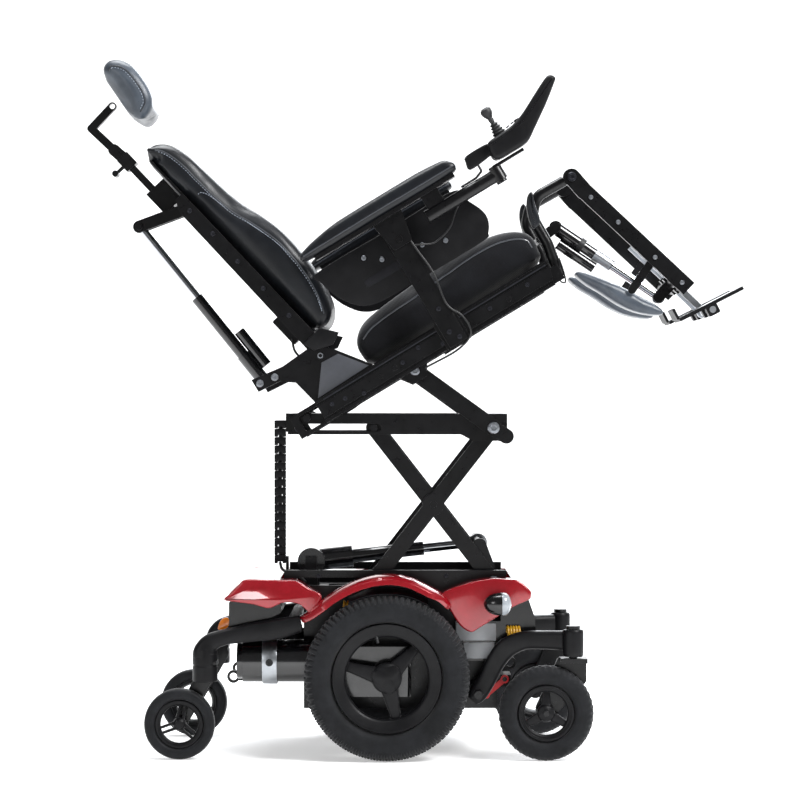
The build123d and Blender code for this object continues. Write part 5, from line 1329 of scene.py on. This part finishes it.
@dataclass
class CasterArms:
    """Cast arms and swivel barrels, rounded as the castings are."""

    def build(self) -> None:
        """Make the front and rear arms of both sides; they stand for the CAD arms."""
        rear_parts = []
        for name, side in SIDES.items():
            front = beam(f"front_arm_casting_{name}",
                         [(116, 124), (128, 138), (146, 168), (166, 208), (190, 238), (226, 254), (270, 256),
                          (312, 256)],
                         [side * v for v in (206, 206, 208, 212, 217, 220, 228, 240)],
                         [10, 11, 11, 12, 15, 17, 18, 18], [13, 19, 20, 21, 22, 20, 20, 21])
            barrel = post(f"front_barrel_{name}", (330.0, side * 251.0),
                          [(9.6, 222.5), (20, 222.5), (22, 225), (22.5, 232), (22.5, 272), (22, 277), (20, 280),
                           (9.6, 280)])
            cast = settle(joined(f"front_arm_casting_{name}", [front, barrel]), f"front_arm_{name}", MOULDED_NYLON)
            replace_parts(cast, f"front_caster_arm_{name}")
            rear = beam(f"rear_arm_casting_{name}",
                        [(-252, 291), (-300, 280), (-362, 271), (-414, 262), (-446, 250), (-458, 232), (-458, 222)],
                        [side * v for v in (223, 223, 223, 224, 225, 225, 225)],
                        [19, 19, 19, 19.5, 22, 25, 26], [18, 22, 20, 17, 20, 25, 26])
            barrel = post(f"rear_barrel_{name}", (-458.0, side * 225.0),
                          [(9.6, 166.5), (25, 166.5), (27, 169), (27, 199), (26, 200), (26, 203), (27, 204),
                           (27.5, 226), (25, 236), (16, 242), (2, 244)])
            rear_parts += [rear, barrel]
        turn = np.array([[-272.0, -222.0, 290.0], [-272.0, 0.0, 290.0], [-272.0, 222.0, 290.0]])
        cross = tube("rear_cross_tube", Layout.point(turn[:, 0], turn[:, 1], turn[:, 2]), 13 * MM, 20,
                     (0.0, 0.0, 1.0))
        cast = settle(joined("rear_arm_castings", rear_parts + [cross]), "base", MOULDED_NYLON)
        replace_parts(cast, "rear_caster_arms")


@dataclass
class Covers:
    """Painted covers: smooth side wings with a rounded rim, joined by thin sheets across the top."""

    rear_wing: tuple = ((-417, 343), (-402, 358), (-388, 372), (-372, 386), (-330, 386), (-286, 385), (-262, 383),
                        (-232, 366), (-208, 352), (-216, 328), (-229, 308), (-242, 322), (-256, 333), (-274, 337),
                        (-292, 336), (-318, 325), (-338, 328), (-356, 333), (-392, 338))
    front_wing: tuple = ((50, 356), (62, 330), (78, 302), (90, 286), (104, 276), (116, 274), (126, 280),
                         (168, 306), (202, 327), (236, 343), (241, 353), (238, 364), (214, 384), (190, 387),
                         (150, 388), (96, 376))
    skin: float = 3.0

    def build(self) -> None:
        """Make both covers; each stands for its CAD node."""
        for label, wing, sheets in (
                ("rear_cover", self.rear_wing,
                 [([(-415, 345), (-400, 362), (-384, 377), (-372, 385), (-340, 386), (-299, 385)], -238.0, 238.0)]
                 + [([(-300, 385), (-262, 383.5), (-236, 368), (-210, 353)], s * 178.0, s * 238.0) for s in (1, -1)]),
                ("front_cover", self.front_wing,
                 [([(200, 386), (214, 384), (228, 374), (238, 364), (241, 353), (236, 344)], -238.0, 238.0)]
                 + [([(52, 358), (70, 366), (96, 376), (122, 383), (150, 387), (200, 386)], s * 178.0, s * 238.0)
                    for s in (1, -1)])):
            parts = [slab(f"{label}_wing", list(wing), LEVEL, (s * 234.0, s * 245.0), rounding=4.5, samples=150)
                     for s in (1, -1)]
            parts += [self.sheet(f"{label}_sheet", run, low, high) for run, low, high in sheets]
            whole = settle(joined(f"{label}_skin", parts), "base", RED_LACQUER)
            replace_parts(whole, label)

    def sheet(self, name: str, run: list, low: float, high: float) -> bpy.types.Object:
        """Sheet across Y: the run is carried from low to high, and again a wall's thickness below."""
        line = smooth_path(run, 40)
        nearby = np.gradient(line, axis=0)
        nearby /= np.linalg.norm(nearby, axis=1, keepdims=True)
        inward = np.stack([nearby[:, 1], -nearby[:, 0]], axis=-1) * self.skin
        outline = np.concatenate([line, (line + inward)[::-1]])
        y = np.linspace(*sorted((low, high)), 6)
        grid = Layout.point(outline[None, :, 0] + 0 * y[:, None], y[:, None] + 0 * outline[None, :, 0],
                            outline[None, :, 1] + 0 * y[:, None])
        return surface(name, grid, (False, True), caps=True)


@dataclass
class Chain:
    """Drag chain: links of two side plates notched at the foot and two bars, one above the other."""

    links: int = 17
    pitch: float = 18.7
    x: float = -306.0
    foot: float = 408.0

    def build(self) -> None:
        """Make the chain and the cables in it."""
        parts = []
        for side in (1.0, -1.0):
            z = np.arange(self.links) * self.pitch + self.foot
            plate = np.array([(-12.4, 0.6), (-12.4, 17.6), (-9.0, 18.3), (9.0, 18.3), (12.4, 17.6), (12.4, 0.6),
                              (6.0, 0.2), (5.0, 4.6), (-5.0, 4.6), (-6.0, 0.2)])
            for index in range(self.links):
                parts.append(slab("link", plate + np.array([self.x, z[index]]), LEVEL, (side * 13.0, side * 17.0),
                                  rounding=0.5))
        bars = []
        for index in range(self.links):
            for dx in (-10.5, 10.5):
                bars.append(slab("bar", [(self.x + dx - 1.8, self.foot + index * self.pitch + 6.0),
                                         (self.x + dx + 1.8, self.foot + index * self.pitch + 6.0),
                                         (self.x + dx + 1.8, self.foot + index * self.pitch + 14.0),
                                         (self.x + dx - 1.8, self.foot + index * self.pitch + 14.0)], LEVEL,
                                 (-13.5, 13.5), rounding=0.4))
        chain = settle(joined("drag_chain_links", parts + bars), "base", MOULDED_NYLON)
        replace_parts(chain, "cable_chain")
        core = Layout.point(np.full(40, self.x) + 1.5 * np.sin(np.linspace(0, 9, 40)),
                            4.0 * np.cos(np.linspace(0, 7, 40)), np.linspace(self.foot + 4, self.foot + 314, 40))
        cables = settle(tube("drag_chain_cables", core, 5.5 * MM, 10), "base", PVC_SHEATH)
        for piece in (chain, cables):
            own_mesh(piece)


@dataclass
class Controls:
    """Joystick housing, bellows, knob and keys, rounded as they are moulded."""

    y: float = -267.0
    housing: tuple = ((598, 268), (597, 298), (606, 308), (640, 310), (668, 313), (700, 324), (740, 344),
                      (776, 361), (789, 362), (796, 351), (786, 341), (752, 315), (724, 296), (700, 280),
                      (676, 266), (640, 264))
    box: tuple = ((542, 278), (541, 298), (548, 307), (590, 308), (602, 303), (602, 284), (590, 281))

    def build(self) -> None:
        """Make the controls."""
        body = slab("joystick_shell", list(self.housing), SEAT, (self.y - 29.5, self.y + 29.5), crown=0.4,
                    rounding=9.0, samples=130)
        pod = slab("joystick_pod", list(self.box), SEAT, (self.y - 14.0, self.y + 14.0), rounding=4.0, samples=60)
        shell = settle(joined("joystick_shell", [body, pod]), "joy_arm", MOULDED_NYLON)
        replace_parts(shell, "joystick_housing")
        turn = np.linspace(0, 2 * np.pi, 40, endpoint=False)[None, :]
        s = np.linspace(0, 1, 70)[:, None]
        radius = 15.5 - 8.5 * s + 1.6 * np.cos(2 * np.pi * 4.5 * s)
        grid = SEAT.point(634.0 + radius * np.cos(turn), 308.0 + 30.0 * s + 0 * turn, self.y + radius * np.sin(turn))
        bellows = settle(surface("joystick_bellows", grid, (False, True), caps=True), "joy_lever", NITRILE)
        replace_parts(bellows, "joystick_boot")
        profile = np.array([(3.5, 336), (5, 340), (6, 346), (5.5, 350), (8, 354), (11.5, 360), (12.6, 366),
                            (11.5, 371), (7, 374.6), (0.4, 375)], float)
        grid = SEAT.point(634.0 + profile[:, :1] * np.cos(turn), profile[:, 1:] + 0 * turn,
                          self.y + profile[:, :1] * np.sin(turn))
        knob = settle(surface("joystick_knob", grid, (False, True), caps=True), "joy_lever", NITRILE)
        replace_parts(knob, "joystick_lever")
        for index, (u, v) in enumerate(((668.0, 314.5), (656.0, 312.5))):
            cap = slab(f"joystick_key_{index}",
                       [(u - 4, v), (u + 4, v + 1.5), (u + 3.4, v + 4.2), (u - 4.4, v + 2.8)], SEAT,
                       (self.y - 18, self.y - 8), rounding=0.8)
            settle(cap, "joy_arm", GREY_ABS)


# Rows of screws and pins on each side: name, places, distance out, head radius, body, frame and finish.
SCREW_ROWS = (
    ("rail_screws",
     [(60, 0), (100, -12), (205, 2), (250, 12), (300, -8), (425, 4), (520, 6), (30, 4)],
     240.1, 5.0, "seat", SEAT, BLACK_OXIDE),
    ("cane_screws",
     [(40, -8), (110, -10), (190, -10), (270, -10), (350, -12), (420, -10)],
     210.1, 5.2, "back", BACK, BLACK_OXIDE),
    ("recline_pins", [(-80, 122), (-46, 117), (62, 106)], 223.2, 8.0, "seat", SEAT, ZINC),
    ("lower_frame_screws",
     [(-270, 366), (-216, 390), (-150, 362), (60, 390), (112, 364)],
     170.1, 5.0, "base", LEVEL, BLACK_OXIDE),
    ("lower_pivot_caps", [(162.0, 377.5)], 174.1, 12.0, "base", LEVEL, ZINC),
    ("beam_screws", [(-262, 706)], 170.1, 5.0, "beam", LEVEL, BLACK_OXIDE),
    ("beam_pivot_caps", [(162.0, 710.5)], 182.2, 13.0, "beam", LEVEL, ZINC),
    ("tilt_pin_caps", [(-7.6, 833.2)], 196.2, 10.0, "tilt", LEVEL, ZINC),
    ("guard_screws", [(282, 214), (250, 237), (372, 196), (420, 178)], 221.2, 5.5, "seat", SEAT, ZINC),
    ("post_screws", [(330, 60), (324, 6), (338, -14)], 263.1, 5.5, "seat", SEAT, BLACK_OXIDE),
    ("knee_screws", [(0, 0)], 186.3, 10.0, "legrest", LEG, BLACK_OXIDE),
    ("channel_screws", [(60, -4), (140, -3), (250, -4), (330, -4)], 184.1, 5.0, "legrest", LEG, ZINC),
)


@dataclass
class Fittings:
    """Screws, bright pivots, held cables, knee pads, panels and sleeves on the seat, back, lift and legrest."""

    def build(self) -> None:
        """Make them on both sides."""
        for name, side in SIDES.items():
            for label, places, out, radius, body, where, finish in SCREW_ROWS:
                Screws.row(f"{label}_{name}", places, side * out, side, radius, body, where, finish)
            self.knee_pad(name, side)
            self.panels(name, side)
        self.sleeves()
        self.cables()

    def knee_pad(self, name: str, side: float) -> None:
        """Curved knee pad beside the hanger's bend."""
        pad = slab(f"knee_pad_{name}", [(596, 104), (604, 142), (620, 168), (634, 172), (626, 146), (617, 110)], SEAT,
                   (side * 178, side * 206), rounding=5.0, samples=60)
        settle(pad, "seat", COATED_FABRIC)

    def panels(self, name: str, side: float) -> None:
        """Grey moulded panel and the webbing anchor behind the seat cushion."""
        grey = slab(f"seat_corner_panel_{name}", [(10, 30), (56, 92), (96, 90), (140, 34)], SEAT,
                    (side * 223.1, side * 226.0), rounding=1.2)
        settle(grey, "seat", GREY_ABS)
        anchor = slab(f"webbing_anchor_{name}", [(56, 122), (44, 146), (92, 158), (122, 128), (98, 112)], SEAT,
                      (side * 223.2, side * 229.0), rounding=2.0)
        settle(anchor, "seat", MOULDED_NYLON)
        guard = slab(f"side_guard_{name}", [(150, 262), (145, 238), (152, 210), (166, 182), (190, 154), (226, 139),
                                            (300, 136), (484, 135), (508, 146), (521, 168), (521, 192), (506, 226),
                                            (488, 261), (330, 262)], SEAT, (side * 216.4, side * 221.1),
                     rounding=1.8, samples=140)
        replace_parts(settle(guard, "seat", MOULDED_NYLON), "side_guards")
        slot = slab(f"guard_slot_{name}", [(232, 178), (226, 186), (232, 194), (330, 194), (336, 186), (330, 178)],
                    SEAT, (side * 220.9, side * 221.9), rounding=0.4, samples=50)
        settle(slot, "seat", COVER_INSIDE)
        seam = SEAT.point(np.linspace(20, 575, 60), np.full(60, 22.0), np.full(60, side * 240.6))
        settle(tube(f"rail_trim_{name}", seam, 1.3 * MM, 8, (0.0, 0.0, 1.0)), "seat", BLACK_OXIDE)

    def sleeves(self) -> None:
        """Bright sleeve and a rubber collar on the leg actuator."""
        head, foot = np.array([49.0, -95.0]), np.array([319.0, -52.0])
        way = (foot - head) / np.linalg.norm(foot - head)
        for name, start, stop, radius, finish in (("leg_actuator_sleeve", 104, 148, 13.6, ANODISED),
                                                  ("leg_actuator_collar", 62, 74, 16.2, NITRILE)):
            spots = head + way * np.linspace(start, stop, 6)[:, None]
            path = LEG.point(spots[:, 0], spots[:, 1], np.full(6, -60.0))
            settle(tube(name, path, radius * MM, 28), "leg_motor", finish)

    def cables(self) -> None:
        """Cables clipped along the frames: each lies on what holds it."""
        for name, body, where, points, radius in (
                ("post_cable", "seat", SEAT, [(352, 248, -266), (356, 190, -267), (360, 130, -267), (350, 60, -266),
                                              (366, 20, -262), (362, -20, -255), (320, -36, -246),
                                              (240, -33, -242)], 2.2),
                ("guard_cable", "seat", SEAT, [(352, 205, -264), (372, 196, -248), (398, 186, -240),
                                               (440, 196, -236), (470, 220, -236), (500, 238, -240)], 2.0),
                ("back_cable", "back", BACK, [(70, 20, -182), (44, 34, -184), (14, 30, -186), (-8, 12, -212)], 2.6),
                ("hanger_cable", "seat", SEAT, [(612, 20, -176), (606, -6, -178), (598, -30, -176), (590, -26, -172),
                                                (586, -4, -170)], 1.8),
                ("lift_cable", "base", LEVEL, [(-306, 410, -12), (-300, 396, -30), (-280, 388, -60),
                                               (-262, 384, -84), (-246, 372, -98)], 3.2)):
            spots = smooth_path(points, 70)
            path = where.point(spots[:, 0], spots[:, 1], spots[:, 2])
            settle(tube(name, path, radius * MM, 10, (0.13, 0.9, 0.21)), body, PVC_SHEATH)
@dataclass
class RearForks:
    """One-sided rear caster forks: a crown under the swivel and one leg inboard of the wheel."""

    leg_thickness: float = 6.5
    axle_radius: float = 15.0
    crown_radius: float = 20.0
    crown_height: float = 9.0
    cap_radius: float = 9.0

    def build(self) -> None:
        """Put a fork in place of each two-sided one, with an axle cap on the wheel's outer side."""
        for name, side in SIDES.items():
            self.fork(name, side)

    def fork(self, name: str, side: float) -> None:
        """Leg, crown and axle cap, measured from the plain fork's box and its wheel's.

        The leg's outline is the belt round two discs: in each direction the disc that reaches further gives
        the point.

        Args:
            name: left or right.
            side: 1 for left, -1 for right.
        """
        shift = np.array([SHIFT, 0.0, 0.0])
        low, high = (np.array(corner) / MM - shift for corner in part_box(f"rear_fork_{name}"))
        wheel = [np.array(corner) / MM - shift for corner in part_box(f"rear_caster_wheel_{name}")]
        hub = (wheel[0] + wheel[1]) / 2
        near, middle = min(abs(low[1]), abs(high[1])), abs(low[1] + high[1]) / 2
        top = np.array([high[0] - self.crown_radius, high[2] - self.crown_radius])
        turn = np.linspace(0, 2 * np.pi, 96, endpoint=False)
        way = np.stack([np.cos(turn), np.sin(turn)], axis=-1)
        centres, radii = np.array([hub[[0, 2]], top]), np.array([self.axle_radius, self.crown_radius])
        pick = (way @ centres.T + radii).argmax(axis=1)
        leg = slab(f"rear_fork_leg_{name}", centres[pick] + radii[pick, None] * way, LEVEL,
                   (side * near, side * (near + self.leg_thickness)), rounding=2.4)
        left, right, under = top[0] - self.crown_radius, high[0], high[2] - self.crown_height
        crown = slab(f"rear_fork_crown_{name}", [(left, under), (right, under), (right, high[2]), (left, high[2])],
                     LEVEL, (side * near, side * (middle + self.crown_radius)), rounding=2.4)
        outer = max(abs(wheel[0][1]), abs(wheel[1][1]))
        cap = slab(f"rear_axle_cap_{name}", hub[[0, 2]] + self.cap_radius * way, LEVEL,
                   (side * (outer - 12.0), side * (outer + 1.0)), rounding=2.4)
        for piece, finish in ((leg, BLACK_POWDER_COAT), (crown, BLACK_POWDER_COAT), (cap, MOULDED_NYLON)):
            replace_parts(settle(piece, f"rear_fork_{name}", finish), f"rear_fork_{name}")




def main() -> None:
    """Build every sub-assembly in order."""
    logging.basicConfig(level=logging.INFO, format="%(name)s %(message)s")
    for part in (Studio(), Frames(), RunningGear(), Covers(), BaseTrim(), CasterArms(), RearForks(), Chain(),
                 Controls(), Fittings(), Upholstery()):
        LOG.info("building %s", type(part).__name__)
        part.build()


if __name__ == "__main__":
    main()
